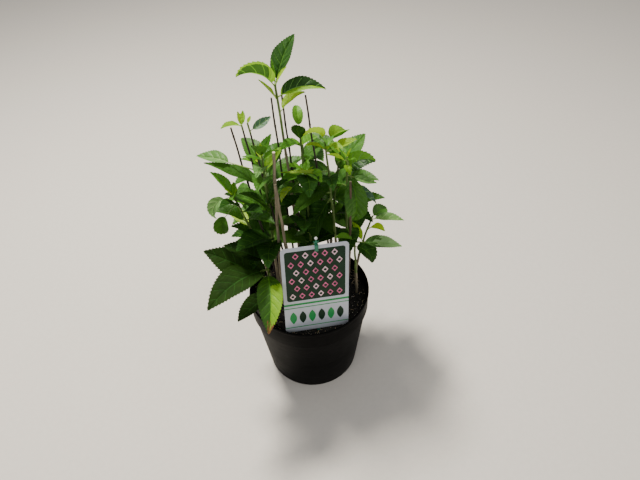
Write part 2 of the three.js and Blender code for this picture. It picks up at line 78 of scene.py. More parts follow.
# The plant as the source grows it, in millimetres and degrees. A leaf has how far up its shoot it grows,
# heading (0 right, 90 back, 180 left, 270 front), rise, blade length, droop, width as a share of the length,
# kind, roll, and its stalk as a share of the length. A shoot has its foot and tip, how far its bend leans to
# the tip, its bare share, its radius at both ends, the pairs, turn and blade of its filled leaves, and the
# leaves that the photograph shows.
Leaf = namedtuple("Leaf", "along heading rise blade droop wide kind roll stalk", defaults=(0, 0.12))
Shoot = namedtuple("Shoot", "foot tip lean bare girth fill turn blade seen",
                   defaults=((2.5, 1.3), 0, 0, 0, ()))
SHOOTS = {
    "crest": Shoot((-10, 28), (-25, 36, 493), 0.25, 0.8, (2.4, 1.5), seen=(
        (1, 66, 45, 67, 30, 0.42, "dark", -6), (0.99, 185, 60, 49, 90, 0.68, "patched", 48),
        (1, 0, 60, 22, 10, 0.5, "young", 0, 0.25), (0.95, 15, 25, 61, 55, 0.43, "split", 18, 0.08),
        (0.89, 30, 40, 37, 40, 0.53, "young", -4, 0.16), (1, 100, 55, 29, 0, 0.14, "mid", 0, 0.1),
        (0.94, 190, 60, 34, 10, 0.35, "young", 0, 0.05),
    )),
    "left_inner_twig": Shoot((-42, 42), (-72, 30, 443), 0.5, 0.97, (1.8, 1.2), seen=(
        (1, 220, 30, 30, 30, 0.5, "young", 0, 0.05), (1, 110, 40, 18, -10, 0.42, "young", 0, 0.05),
        (1, 85, 30, 20, -10, 0.42, "young", 0, 0.05),
    )),
    "left_front_twig": Shoot((-32, 31), (-63, 22, 450), 0.4, 0.95, (1.8, 1.2), seen=(
        (1, 75, 20, 12, 0, 0.45, "young", 0, 0.05), (0.96, 35, 15, 29, 0, 0.45, "blue", 40, 0.15),
    )),
    "west_low": Shoot((-58, -24), (-53, -45, 270), 0.3, 0.25, seen=(
        (0.6, 170, 40, 96, 25, 0.52, "deep", -30, 0.1), (1, 155, 20, 64, 30, 0.55, "deep"),
        (0.85, 225, 25, 100, 50, 0.5, "deep"), (0.3, 215, 5, 60, 50, 0.56, "deep"),
        (0.8, 270, 5, 88, 60, 0.42, "scorched", 0, 0.1), (0.72, 25, 80, 54, 10, 0.5, "deep", 0, 0.1),
    )),
    "west_high": Shoot((-48, 6), (-47, -5, 418), 0.3, 0.3, fill=2, turn=75, blade=78, seen=(
        (1, 60, 35, 28, -5, 0.5, "mid"), (1, 265, 55, 38, 10, 0.55, "dark"),
        (0.97, 115, 20, 30, 20, 0.25, "young"), (0.9, 55, 35, 40, 30, 0.42, "young"),
        (0.92, 260, 50, 36, 70, 0.6, "pale"), (0.82, 165, 25, 81, 15, 0.36, "dark", 4, 0.07),
        (0.68, 355, 75, 50, 40, 0.5, "dark"), (0.62, 205, 75, 60, 45, 0.5, "dark"),
        (0.45, 230, 45, 70, 50, 0.6, "dark"), (0.5, 320, 60, 56, 40, 0.55, "dark"),
        (0.9, 155, 5, 51, 15, 0.42, "pale", -16, 1.02),
    )),
    "west_middle": Shoot((-58, 8), (-91, -10, 361), 0.2, 0.3, fill=1, turn=100, blade=62, seen=(
        (1, 145, 50, 40, 30, 0.4, "mid"), (1, 185, -10, 42, 110, 0.44, "pale", -46, 0.3),
        (0.9, 235, 55, 38, 50, 0.55, "dark"), (0.94, 220, -30, 32, 110, 0.72, "dark", -44, 0.76),
        (0.85, 315, 40, 46, 30, 0.55, "dark"), (0.7, 135, 20, 44, 30, 0.5, "sunny"),
        (0.55, 200, 75, 50, 50, 0.55, "dark"),
    )),
    "east_low": Shoot((76, 0), (71, 0, 262), 0.4, 0.4, seen=(
        (0.97, 0, -5, 58, 15, 0.39, "tipped", 20, 0.25), (0.89, 335, 10, 41, 110, 0.72, "dark", 10, 0.08),
        (1, 200, 45, 32, 40, 0.55, "mid"),
    )),
    "east_side": Shoot((76, 34), (101, 34, 278), 0.2, 0.4, seen=(
        (0.99, 50, -5, 35, 10, 0.71, "full", 16, 0.09), (0.95, 350, 20, 44, 40, 0.45, "pale"),
        (0.8, 310, 45, 36, 40, 0.5, "young"), (0.6, 110, 15, 36, 0, 0.35, "young"),
    )),
    "east_high": Shoot((50, 18), (33, 15, 422), 0.4, 0.4, seen=(
        (1, 195, 70, 30, 110, 0.72, "young", 42, 0.3), (1, 45, 20, 33, 60, 0.67, "young", 0, 0.3),
        (0.94, 5, 25, 31, 10, 0.6, "young", 8, 0.37), (1, 35, 10, 36, 10, 0.25, "mid"),
        (1, 275, 60, 28, 80, 0.7, "mid"), (0.95, 310, 55, 34, 60, 0.45, "young"),
        (0.95, 210, 50, 32, 40, 0.35, "young"), (0.83, 180, 0, 55, -5, 0.18, "sunny", 2, 0.15),
        (0.79, 275, 45, 44, 70, 0.5, "dark"), (0.7, 220, 25, 64, 60, 0.44, "dark"),
        (0.67, 205, -50, 74, 45, 0.66, "dark"),
    )),
    "east_middle": Shoot((62, 42), (63, 38, 382), 0.4, 0.3, fill=1, turn=80, blade=66, seen=(
        (0.89, 355, 70, 46, 100, 0.6, "faced", 50, 0.09), (0.97, 175, 25, 24, 10, 0.42, "young", 0, 0.2),
        (0.94, 275, 30, 24, 60, 0.5, "young", 0, 0.2), (0.87, 355, -20, 34, -5, 0.39, "pale", 26, 0.3),
        (0.82, 340, -25, 40, 25, 0.44, "blue", 4, 0.33), (0.99, 280, -40, 81, 95, 0.41, "full", 14, 0.35),
    )),
    "middle": Shoot((8, 16), (5, 24, 366), 0.4, 0.3, fill=2, turn=20, blade=62, seen=(
        (1, 275, 30, 52, 60, 0.6, "dark"), (0.98, 215, -15, 26, 55, 0.52, "sunny", -2, 0.91),
        (0.6, 265, 60, 74, 60, 0.6, "dark"), (0.53, 190, 5, 18, 30, 0.62, "pale", 0, 0.3),
        (1, 215, 25, 40, 50, 0.5, "mid"), (1, 300, 40, 42, 50, 0.5, "mid"),
        (0.8, 215, 30, 46, 40, 0.5, "dark"), (0.8, 310, 65, 50, 50, 0.5, "dark"),
    )),
    "back_middle": Shoot((12, 46), (0, 45, 426), 0.4, 0.45, seen=(
        (0.99, 95, 85, 31, 100, 0.51, "mid", 6, 0.23), (0.92, 250, 70, 31, 10, 0.69, "dark", 12, 0.24),
        (0.75, 200, 45, 28, 40, 0.5, "mid"), (0.9, 235, 40, 42, 40, 0.55, "mid"),
        (0.9, 60, 0, 42, 30, 0.5, "mid"), (0.6, 205, 75, 50, 50, 0.5, "dark"),
    )),
    "back_west": Shoot((-28, 52), (-66, 84, 350), 0.2, 0.3, fill=4, turn=30, blade=84),
    "back_far": Shoot((2, 62), (2, 98, 366), 0.2, 0.3, fill=4, turn=40, blade=80),
    "back_east": Shoot((36, 60), (56, 88, 358), 0.2, 0.3, fill=4, turn=50, blade=84),
    "far_west": Shoot((-64, 44), (-92, 62, 290), 0.2, 0.35, fill=3, turn=20, blade=66),
    "far_east": Shoot((60, 56), (80, 74, 275), 0.2, 0.35, fill=3, turn=65, blade=60),
}
DARK_TWIGS = {
    "crest_left_twig": Shoot((-20, 38), (-32, 44, 471), 0.5, 1, (1.8, 1.2)),
    "crest_right_twig": Shoot((-4, 42), (-19, 50, 471), 0.5, 1, (1.8, 1.2)),
    "right_twig": Shoot((40, 42), (11, 45, 472), 0.5, 1, (1.8, 1.2)),
    "left_outer_twig": Shoot((-52, 34), (-85, 24, 443), 0.5, 1, (1.8, 1.2)),
}
PRUNED_STEMS = {
    "pruned_stem_front": Shoot((-42, -17), (-30, -24, 435), 0.3, 1, (2.4, 2)),
    "pruned_stem_short": Shoot((-24, -14), (-32, -31, 392), 0.4, 1, (2.4, 1.9)),
    "pruned_stem_right": Shoot((64, 22), (65, 2, 367), 1.2, 1, (2.2, 1.5)),
}

# The rule for leaves that the camera doesn't see, as in the source: opposite pairs, each turned a quarter,
# under a roof that falls towards the back, and clear of other leaves, for which some swings are tried
FILL_FIRST, FILL_OFFSET, FILL_DENSER = 0.06, 0.3, 1.5
ROOF_BACK, ROOF_UP, ROOF_MOST = 0.68, 0.73, 355 * MM
SEED, DRAW_STEP, DRAW_LIMIT = 4711, 16807, 2147483647
CROWN_BLADE, CLEAR_CROWN, CLEAR = 30, 1.2 * MM, 3.5 * MM
SWINGS = ((0, 0), (12, 0), (-12, 0), (0, 12), (0, -12), (24, 6), (-24, 6), (36, 0), (-36, 0), (0, 24))

# How a blade's outline, fold, veins, teeth and quilting are made: shares of its length and half width,
# degrees of fold, and the height over the floor from where the quilting deepens
OUTLINE_BASE, OUTLINE_TIP = 0.72, 1.12
FOLD, FOLD_EASE = 31, 0.15
VEIN_LEAN, VEIN_SPAN = 0.78, (0.15, 0.94)
VEIN_SPACING, VEIN_WIDTH = 12 * MM, 0.75 * MM
MIDRIB_SHARE = 0.045
COLUMNS = (0.0, MIDRIB_SHARE, 0.18, 0.38, 0.6, 0.82, 1.0)
TEETH_SPAN, TOOTH_DEPTH, TOOTH_PEAK = (0.12, 0.97), 0.046, 0.6
QUILT_FROM, QUILT_RISE, QUILT_LEAST = 0.23, 0.12, 0.3

# How limbs are made: sides, the step between rings, and the half width of the swelling at a pair of buds
LIMB_SIDES, LIMB_STEP, SWELLING = 14, 2.4 * MM, 2.2 * MM

# Base colours of the leaves, each with two tones that cloud into each other. Some are painted light or shade,
# as noted
# the darkest tones are painted shade, for low leaves that lie in the plant's own shade
SHADED_DEEP = (0.006, 0.02, 0.001), (0.012, 0.034, 0.002)
DARK = (0.01, 0.041, 0.005), (0.021, 0.07, 0.008)
FULL = (0.019, 0.064, 0.006), (0.04, 0.114, 0.011)
VEIN = (0.028, 0.082, 0.008), (0.052, 0.135, 0.014)
RICH = (0.028, 0.094, 0.008), (0.055, 0.16, 0.014)
FRESH = (0.042, 0.15, 0.009), (0.078, 0.23, 0.017)
BRIGHT = (0.076, 0.225, 0.011), (0.13, 0.33, 0.02)
LIME = (0.13, 0.3, 0.009), (0.22, 0.42, 0.016)
YELLOW = (0.18, 0.33, 0.007), (0.29, 0.46, 0.014)
PALE = (0.07, 0.19, 0.034), (0.15, 0.31, 0.078)
LIGHT = (0.2, 0.36, 0.1), (0.32, 0.5, 0.18)
BLUE = (0.03, 0.092, 0.042), (0.072, 0.165, 0.085)
# a pale blue-green that is a painted highlight on the outer part of a blade
HIGHLIT_MIST = (0.12, 0.25, 0.075), (0.2, 0.35, 0.13)
# a lit copy of the young greens: painted sunlight for leaves inside the crown
SUNLIT_GREEN = (0.3, 0.5, 0.035), (0.42, 0.6, 0.07)
BROWN = (0.11, 0.045, 0.012), (0.2, 0.1, 0.035)

# Kinds of leaf: the colours of its faces, its veins' colour, and the share of light that shines through
LEAF_KINDS = {
    "dark": ((DARK, FULL), VEIN, 0.22),
    # painted shade: the low leaves in the plant's own shade take only the darkest tones
    "deep": ((SHADED_DEEP,), DARK, 0.12),
    "full": ((RICH,), FRESH, 0.26),
    "mid": ((FRESH, BRIGHT), BRIGHT, 0.32),
    "young": ((YELLOW, LIME), YELLOW, 0.42),
    # painted sunlight: a lit copy of the young greens
    "sunny": ((SUNLIT_GREEN,), LIGHT, 0.4),
    "pale": ((PALE,), LIGHT, 0.34),
    "blue": ((BLUE,), LIGHT, 0.24),
    # two-tone kinds: part of the blade painted lit and part painted in shade; the scorched kind's brown tip
    # is real
    "scorched": ((FULL, LIME, BROWN), FRESH, 0.34),
    # this kind and the two below it have pale veins, partly real and partly painted glints
    "tipped": ((FULL, HIGHLIT_MIST), PALE, 0.22),
    "split": ((LIME, DARK), PALE, 0.34),
    "faced": ((DARK, BRIGHT), PALE, 0.28),
    "patched": ((LIME, FULL), BRIGHT, 0.4),
}
MATT_KINDS = ("dark", "deep")
PALE_STALKS = ("young", "pale", "split", "patched")

# The stage in metres and degrees: how far the floor lies under the pot, where the lamps aim, and the camera
# as the photograph was taken
FLOOR_DROP = 0.5 * MM
LAMP_AIM = (0, 0, 0.27)
CAMERA_PLACE = (0.02088, -0.55643, 0.78088)
CAMERA_PITCH, CAMERA_ROLL = 47.2, -2.65
SENSOR, LENS = 36, 29.25


def length_setting(name, description, default):
    """A setting that is a length."""
    return FloatProperty(name=name, description=description, default=default, unit="LENGTH")


def angle_setting(name, description, degrees):
    """A setting that is an angle."""
    return FloatProperty(name=name, description=description, default=math.radians(degrees), unit="ROTATION")


def colour_setting(name, description, default):
    """A setting that is a colour."""
    return FloatVectorProperty(name=name, description=description, default=default, size=3, subtype="COLOR")


class PotSizes(bpy.types.PropertyGroup):
    """Sizes and colour of the nursery pot"""

    collar: length_setting("Collar", "Depth of the wide band under the rim", COLLAR)
    collar_step: length_setting("Collar step", "How far the band stands out over the wall", 2.6 * MM)
    lip: length_setting("Lip", "Depth of the rolled edge", 5 * MM)
    lip_step: length_setting("Lip step", "How far the rolled edge stands out over the band", 1 * MM)
    wall: length_setting("Wall", "Thickness of the wall", 1.8 * MM)
    base_radius: length_setting("Base radius", "Radius of the underside", 75.5 * MM)
    floor: length_setting("Floor", "Thickness of the floor", 2.4 * MM)
    hole_radius: length_setting("Drain hole", "Radius of each drain hole", 4.5 * MM)
    hole_ring: length_setting("Drain hole ring", "Radius of the ring that the holes lie on", 54 * MM)
    holes: IntProperty(name="Drain holes", description="How many drain holes", default=8)
    colour: colour_setting("Plastic", "Colour of the plastic", (0.003, 0.0029, 0.0028))


class MixSizes(bpy.types.PropertyGroup):
    """Sizes and colours of the potting mix"""

    dip: length_setting("Dip", "How far the surface falls towards the pot's wall", 3 * MM)
    lumps: length_setting("Lumps", "Height of the lumps", 1.6 * MM)
    crumbs: IntProperty(name="Crumbs", description="How many loose crumbs lie on it", default=2600)
    flecks: IntProperty(name="Flecks", description="How many pale fibres and grains lie on it", default=900)
    colour: colour_setting("Peat", "Colour of the damp peat", (0.007, 0.0052, 0.004))
    fleck_colour: colour_setting("Fleck", "Colour of the pale fibres", (0.36, 0.27, 0.17))


class LabelSizes(bpy.types.PropertyGroup):
    """Sizes, place and colours of the plant label"""

    width: length_setting("Width", "Width of the card", 95 * MM)
    height: length_setting("Height", "Height of the card", 150 * MM)
    thick: length_setting("Thick", "Thickness of the card", 0.8 * MM)
    corner: length_setting("Corner", "Radius of its corners", 6 * MM)
    place: FloatVectorProperty(name="Place", description="Middle of its lower edge", size=3, subtype="XYZ",
                               default=(11 * MM, -73 * MM, 154 * MM))
    yaw: angle_setting("Yaw", "Turn about the upright", 10)
    tilt: angle_setting("Tilt", "How far it leans back", 9)
    roll: angle_setting("Roll", "Turn in its own plane", 2.5)
    ground: colour_setting("Ground", "Colour of the card", (0.5, 0.53, 0.58))
    deep_green: colour_setting("Deep green", "Colour of the dark field", (0.004, 0.026, 0.01))
    fresh_green: colour_setting("Fresh green", "Colour of the stripes", (0.02, 0.24, 0.06))
    blossom: colour_setting("Blossom", "Colour of the diamonds", (0.58, 0.13, 0.26))


class ShrubSizes(bpy.types.PropertyGroup):
    """Relief and colours of stems and leaves"""

    bark_relief: FloatProperty(name="Bark relief", description="Depth of the ridges as a share of the radius",
                               default=0.1)
    node_step: length_setting("Node distance", "Distance between the pairs of buds on a stem", 38 * MM)
    tooth: length_setting("Tooth length", "Distance between the teeth of a leaf's edge", 3.6 * MM)
    quilting: FloatProperty(name="Quilting", description="Rise between the veins as a share of the length",
                            default=0.024)
    old_bark: colour_setting("Old bark", "Colour of the woody stems", (0.19, 0.158, 0.098))
    young_bark: colour_setting("Young bark", "Colour of the dark twigs", (0.032, 0.02, 0.015))
    shoot_green: colour_setting("Green shoot", "Colour of the green shoots", (0.1, 0.165, 0.03))


# Finishes

class Finish:
    """A new material with its principled shader, and patterns on the object's own coordinates."""

    def __init__(self, name, roughness, sheen=0.5):
        self.material = bpy.data.materials.new(name)
        self.material.use_nodes = True
        self.nodes = self.material.node_tree.nodes
        self.link = self.material.node_tree.links.new
        self.shader = next(node for node in self.nodes if node.type == "BSDF_PRINCIPLED")
        self.shader.inputs["Roughness"].default_value = roughness
        self.shader.inputs["Specular IOR Level"].default_value = sheen

    def node(self, kind, values):
        """A new node with values on its sockets."""
        made = self.nodes.new(f"ShaderNode{kind}")
        for socket, value in values.items():
            made.inputs[socket].default_value = value
        return made

    def pattern(self, kind, scale, stretch=(1, 1, 1), **values):
        """The output of a noise or Voronoi texture on the object's own coordinates."""
        place = self.node("TexCoord", {})
        mapping = self.node("Mapping", {"Scale": stretch})
        texture = self.node(f"Tex{kind}", {"Scale": scale, **values})
        self.link(place.outputs["Object"], mapping.inputs["Vector"])
        self.link(mapping.outputs["Vector"], texture.inputs["Vector"])
        return texture.outputs["Fac" if kind == "Noise" else "Distance"]

    def colours(self, source, *stops):
        """Colours the surface by a ramp over a pattern, with stops of (position, colour)."""
        ramp = self.node("ValToRGB", {"Fac": 0.5})
        elements = ramp.color_ramp.elements
        while len(elements) < len(stops):
            elements.new(0.5)
        for element, (position, colour) in zip(elements, stops):
            element.position = position
            element.color = (*colour, 1)
        self.link(source, ramp.inputs["Fac"])
        self.link(ramp.outputs["Color"], self.shader.inputs["Base Color"])

    def relief(self, *layers):
        """Bumps the surface by layers of (pattern, strength, distance), the lowest first."""
        below = None
        for source, strength, distance in layers:
            bump = self.node("Bump", {"Strength": strength, "Distance": distance})
            self.link(source, bump.inputs["Height"])
            if below:
                self.link(below, bump.inputs["Normal"])
            below = bump.outputs["Normal"]
        self.link(below, self.shader.inputs["Normal"])


def shade(colour, share):
    """A colour made darker or lighter by a share."""
    return tuple(min(1.0, value * share) for value in colour)


def plain_finish(name, colour, roughness, grain=900, depth=0.15, vary=0.18, sheen=0.5):
    """A moulded or printed surface: nearly even colour with fine grain."""
    finish = Finish(name, roughness, sheen)
    mottle = finish.pattern("Noise", 120, Detail=4)
    finish.colours(mottle, (0.3, shade(colour, 1 - vary)), (0.7, shade(colour, 1 + vary)))
    finish.relief((finish.pattern("Noise", grain, Detail=3), depth, 0.0004))
    return finish.material


def pot_finish(colour):
    """Black moulded plastic with a satin sheen, faint scuffs and dust."""
    finish = Finish("black_pot_plastic", 0.5, 0.2)
    dust = finish.pattern("Noise", 26, (1, 1, 2.2), Detail=7, Roughness=0.65)
    finish.colours(dust, (0.5, colour), (0.7, shade(colour, 1.8)), (0.92, (0.022, 0.018, 0.014)))
    rough = finish.node("MapRange", {"To Min": 0.45, "To Max": 0.65})
    finish.link(finish.pattern("Noise", 60, (1, 1, 6), Detail=5), rough.inputs["Value"])
    finish.link(rough.outputs["Result"], finish.shader.inputs["Roughness"])
    finish.shader.inputs["IOR"].default_value = 1.18
    waves = finish.pattern("Noise", 18, (1, 1, 0.4), Detail=2)
    finish.relief((waves, 0.25, 0.002), (finish.pattern("Noise", 1400, Detail=2), 0.12, 0.0003))
    return finish.material


def peat_finish(name, colour, lighter):
    """Damp peat: nearly black, with brown crumbs."""
    finish = Finish(name, 0.92)
    crumbs = finish.pattern("Noise", 420, Detail=8, Roughness=0.7)
    finish.colours(crumbs, (0.35, shade(colour, 0.5)), (0.55, colour), (0.75, shade(colour, lighter)))
    finish.relief((finish.pattern("Voronoi", 260), 0.6, 0.001), (crumbs, 0.8, 0.0008))
    return finish.material


def bark_finish(name, colour, streaks):
    """Bark with lengthwise streaks and pale dots."""
    finish = Finish(name, 0.72)
    lines = finish.pattern("Noise", 520, (1, 1, 0.09), Detail=6, Roughness=0.6)
    finish.colours(lines, (0.3, shade(colour, 0.45)), (0.5, colour), (0.72, shade(colour, streaks)))
    finish.relief((lines, 0.7, 0.0006), (finish.pattern("Voronoi", 700, (1, 1, 0.5)), 0.2, 0.0003))
    return finish.material


def leaf_finish(name, low, high, roughness=0.5, glow=0.3, sheen=0.3):
    """A leaf: two tones of green that cloud into each other, fine quilting, and light shining through."""
    finish = Finish(name, roughness, sheen)
    finish.colours(finish.pattern("Noise", 55, Detail=5, Roughness=0.6), (0.32, low), (0.68, high))
    pores = finish.pattern("Noise", 1500, Detail=3)
    finish.relief((finish.pattern("Voronoi", 420), 0.5, 0.0008), (pores, 0.15, 0.0003))
    through = finish.node("BsdfTranslucent", {"Color": (*shade(high, 1.25), 1)})
    mixed = finish.node("MixShader", {"Fac": glow})
    finish.link(finish.shader.outputs["BSDF"], mixed.inputs[1])
    finish.link(through.outputs["BSDF"], mixed.inputs[2])
    output = next(node for node in finish.nodes if node.type == "OUTPUT_MATERIAL")
    finish.link(mixed.outputs["Shader"], output.inputs["Surface"])
    return finish.material


# Meshes from arrays

def new_object(name, data):
    """A new object in the scene."""
    made = bpy.data.objects.new(name, data)
    bpy.context.scene.collection.objects.link(made)
    return made


class Pile:
    """Vertices and faces of many like things, gathered before they become one mesh."""

    def __init__(self):
        self.points, self.loops, self.sizes, self.finishes = [], [], [], []
        self.nodes = set()
        self.count = 0

    def add(self, points, faces, finish=0):
        """Points as rows of three and faces as rows of indices, all faces with as many corners."""
        faces = np.asarray(faces, dtype=np.int64)
        self.points.append(np.asarray(points, dtype=float).reshape(-1, 3))
        self.loops.append((faces + self.count).ravel())
        self.sizes.append(np.full(len(faces), faces.shape[1]))
        self.finishes.append(np.broadcast_to(finish, (len(faces),)))
        self.count += len(self.points[-1])

    def piece(self, name, materials, slot, *nodes):
        """One smooth mesh of everything gathered, dressed as one piece."""
        points, loops, sizes = [np.concatenate(rows) for rows in (self.points, self.loops, self.sizes)]
        mesh = bpy.data.meshes.new(name)
        mesh.vertices.add(len(points))
        mesh.loops.add(len(loops))
        mesh.polygons.add(len(sizes))
        mesh.vertices.foreach_set("co", points.ravel())
        mesh.loops.foreach_set("vertex_index", loops)
        mesh.polygons.foreach_set("loop_start", np.cumsum(sizes) - sizes)
        mesh.polygons.foreach_set("loop_total", sizes)
        mesh.polygons.foreach_set("material_index", np.concatenate(self.finishes))
        mesh.polygons.foreach_set("use_smooth", np.ones(len(sizes), dtype=bool))
        mesh.update(calc_edges=True)
        mesh.validate()
        dress(new_object(name, mesh), materials, slot, *nodes)


def grid_faces(rows, columns, wrap=False):
    """Quads of a grid of points, closed round its columns if wrap."""
    last = columns if wrap else columns - 1
    row, column = np.meshgrid(np.arange(rows - 1), np.arange(last), indexing="ij")
    here, after = row * columns + column, row * columns + (column + 1) % columns
    return np.stack((here, after, after + columns, here + columns), axis=-1).reshape(-1, 4)


def unit(rows):
    """Rows of vectors, each made one long."""
    return rows / np.maximum(np.linalg.norm(rows, axis=-1, keepdims=True), 1e-12)


def across_of(path):
    """Two directions square to a path at each of its points, carried along without twist."""
    aims = unit(np.gradient(path, axis=0))
    first = np.cross(aims[0], UP if abs(aims[0][2]) < 0.9 else (0.0, 1.0, 0.0))
    sides = [first / np.linalg.norm(first)]
    for aim in aims[1:]:
        side = sides[-1] - aim * np.dot(sides[-1], aim)
        sides.append(side / np.linalg.norm(side))
    sides = np.array(sides)
    return sides, np.cross(aims, sides)


def tube(pile, path, radii, sides, finish=0, end_finish=None):
    """A closed tube along a path. Radii give each ring one radius, or one for each side."""
    side, back = across_of(path)
    turns = np.arange(sides) * 2 * math.pi / sides
    radii = np.broadcast_to(np.asarray(radii, dtype=float).reshape(len(path), -1), (len(path), sides))
    ring = side[:, None] * np.cos(turns)[None, :, None] + back[:, None] * np.sin(turns)[None, :, None]
    points = path[:, None] + ring * radii[:, :, None]
    pile.add(points, grid_faces(len(path), sides, wrap=True), finish)
    around = np.arange(sides)
    faces = np.stack((around, np.roll(around, -1), np.full(sides, sides)), axis=-1)
    pile.add(np.concatenate((points[0], path[:1])), faces[:, ::-1], finish)
    pile.add(np.concatenate((points[-1], path[-1:])), faces, finish if end_finish is None else end_finish)


def curve(first, knee, last, share):
    """Points on the curve from first to last that bends towards the knee."""
    return (1 - share) ** 2 * first + 2 * share * (1 - share) * knee + share ** 2 * last


# The shrub's rules

class Draws:
    """The source's own seeded draws."""

    def __init__(self, seed):
        self.state = seed

    def jitter(self, spread):
        """A number between minus and plus the spread."""
        self.state = self.state * DRAW_STEP % DRAW_LIMIT
        return spread * (2 * self.state / DRAW_LIMIT - 1)


def mix(low, high, share):
    """Between two values by a share."""
    return low + (high - low) * share


def shoot_points(shoot, along):
    """Points on a shoot's curve, in metres."""
    foot = np.array((*shoot.foot, SOIL_TOP / MM + 0.3))
    tip = np.array(shoot.tip, dtype=float)
    bend = mix(foot, tip, shoot.lean)
    bend[2] = mix(foot[2], tip[2], 0.5)
    return curve(foot, bend, tip, np.atleast_1d(np.asarray(along, dtype=float))[:, None]) * MM


def shoot_length(shoot):
    """Straight distance from a shoot's foot to its tip."""
    return np.linalg.norm(shoot_points(shoot, 1)[0] - shoot_points(shoot, 0)[0])


def filled_leaves(shoot, draws):
    """Opposite pairs of leaves up a shoot, for the sides that the camera doesn't see."""
    pairs = round(shoot.fill * FILL_DENSER)
    grown = []
    for pair in range(pairs):
        along = mix(shoot.bare + FILL_FIRST, 1, (pair + FILL_OFFSET) / pairs)
        for side in (0, 180):
            heading = shoot.turn + 90 * pair + side + draws.jitter(14)
            rise = mix(20, 50, along) + draws.jitter(10)
            blade = shoot.blade * mix(1.05, 0.7, along) + draws.jitter(6)
            root = min(along + draws.jitter(0.02), 1)
            droop = 50 + draws.jitter(15)
            wide = 0.54 + draws.jitter(0.05)
            grown.append(Leaf(root, heading, rise, blade, droop, wide, "dark" if along < 0.6 else "full"))
    return grown


def crown_leaves(shoot, draws):
    """The youngest leaves in the middle of a filled shoot's tip."""
    if shoot.fill == 0:
        return []
    turn = 40 + draws.jitter(60)
    small = [Leaf(1, turn + side, 62 + draws.jitter(8), 15 + draws.jitter(3), 10, 0.4, "young", 0, 0.06)
             for side in (0, 180)]
    middling = [Leaf(0.975, turn + 90 + side, 42 + draws.jitter(10), 26 + draws.jitter(4), 30, 0.46, "mid",
                     draws.jitter(20), 0.1) for side in (0, 180)]
    return small + middling


def width_share(along):
    """Half width of a blade at a share of its length, one where it is widest."""
    widest = OUTLINE_BASE / (OUTLINE_BASE + OUTLINE_TIP)
    most = widest ** OUTLINE_BASE * (1 - widest) ** OUTLINE_TIP
    return np.power(along, OUTLINE_BASE) * np.power(1 - along, OUTLINE_TIP) / most


class Blade:
    """The curved surface of one leaf: a place for every share along and across it."""

    def __init__(self, shoot, leaf, draws, quilting):
        self.leaf = leaf
        self.length = leaf.blade * MM
        self.rise, self.droop, self.roll = np.radians((leaf.rise, leaf.droop, leaf.roll)).tolist()
        self.fold = math.radians(FOLD - FOLD_EASE * leaf.blade)
        heading = math.radians(leaf.heading)
        self.ahead = np.array((math.cos(heading), math.sin(heading), 0.0))
        self.level = np.array((-math.sin(heading), math.cos(heading), 0.0))
        self.wave = draws.jitter(math.pi)
        self.twist = draws.jitter(0.16)
        self.bow = draws.jitter(0.05)
        self.root = shoot_points(shoot, min(leaf.along, 0.995))[0]
        self.base = self.root + self.frame(np.zeros(1))[0][0] * (leaf.stalk * self.length + 0.5 * MM)
        self.quilting = quilting * float(np.clip((self.base[2] - QUILT_FROM) / QUILT_RISE, QUILT_LEAST, 1))

    def frame(self, along):
        """Directions ahead, sideways and up from the blade, at shares along it."""
        slope = self.rise - self.droop * along
        aim = np.cos(slope)[..., None] * self.ahead + np.sin(slope)[..., None] * UP
        roll = (self.roll + self.twist * along)[..., None]
        side = np.cos(roll) * self.level + np.sin(roll) * np.cross(aim, self.level)
        return aim, side, np.cross(aim, side)

    def midrib(self, along):
        """Places on the midrib."""
        if abs(self.droop) < 1e-3:
            run, climb = math.cos(self.rise) * along, math.sin(self.rise) * along
        else:
            slope = self.rise - self.droop * along
            run = (math.sin(self.rise) - np.sin(slope)) / self.droop
            climb = (np.cos(slope) - math.cos(self.rise)) / self.droop
        sway = self.bow * np.sin(math.pi * along)
        rib = run[..., None] * self.ahead + sway[..., None] * self.level
        return self.base + self.length * (rib + climb[..., None] * UP)

    def veins(self):
        """Shares along the edge where the side veins end, and the step between them."""
        pairs = int(np.clip(round(self.length / VEIN_SPACING), 3, 7))
        step = (VEIN_SPAN[1] - VEIN_SPAN[0]) / pairs
        return VEIN_SPAN[0] + step * (np.arange(pairs) + 0.5), step

    def relief(self, reach, across):
        """Height of the quilting between the veins, as a share of the length."""
        ends, step = self.veins()
        edge = np.abs(across)
        pillow = np.power(np.abs(np.sin(math.pi * (reach - ends[0]) / step)), 0.7) - 0.5
        cross = 0.8 + 0.2 * np.cos(7 * math.pi * edge + 9 * reach)
        fade = np.clip(reach * 7, 0, 1) * np.clip((1 - reach) * 6, 0, 1) * (1 - edge ** 5)
        furrow = 0.7 * np.exp(-((edge / 0.08) ** 2)) * np.clip(reach * 10, 0, 1)
        ruffle = 0.016 * np.sin(2 * math.pi * (2.3 * reach + self.wave * np.sign(across))) * edge ** 2
        quilt = pillow * cross * np.clip(edge * 6, 0, 1) * fade - furrow
        return self.quilting * quilt + ruffle * (1 - reach)

    def at(self, reach, across, spread=None, ahead=0.0):
        """Places on the blade: reach is the share of the length where a side vein meets the edge, across
        runs from -1 to 1, spread is a half width in place of the plain one, and ahead moves a place towards
        the tip."""
        edge = np.abs(across)
        stem = reach - VEIN_LEAN * reach * (1 - reach)
        along = np.clip(stem + (reach - stem) * np.power(edge, 1.15) + ahead, 0, 1)
        _, side, lift = self.frame(along)
        spread = width_share(reach) if spread is None else spread
        out = across * (0.5 * self.leaf.wide * self.length * spread)
        rise = np.abs(out) * math.sin(self.fold) * (0.75 + 0.25 * edge)
        up = rise + self.length * self.relief(reach, across)
        return self.midrib(along) + side * (out * math.cos(self.fold))[..., None] + lift * up[..., None]

    def spots(self, along, across):
        """Places on a coarse grid over the blade, for finding what is near it."""
        return self.at(*np.meshgrid(along, across, indexing="ij")).reshape(-1, 3)


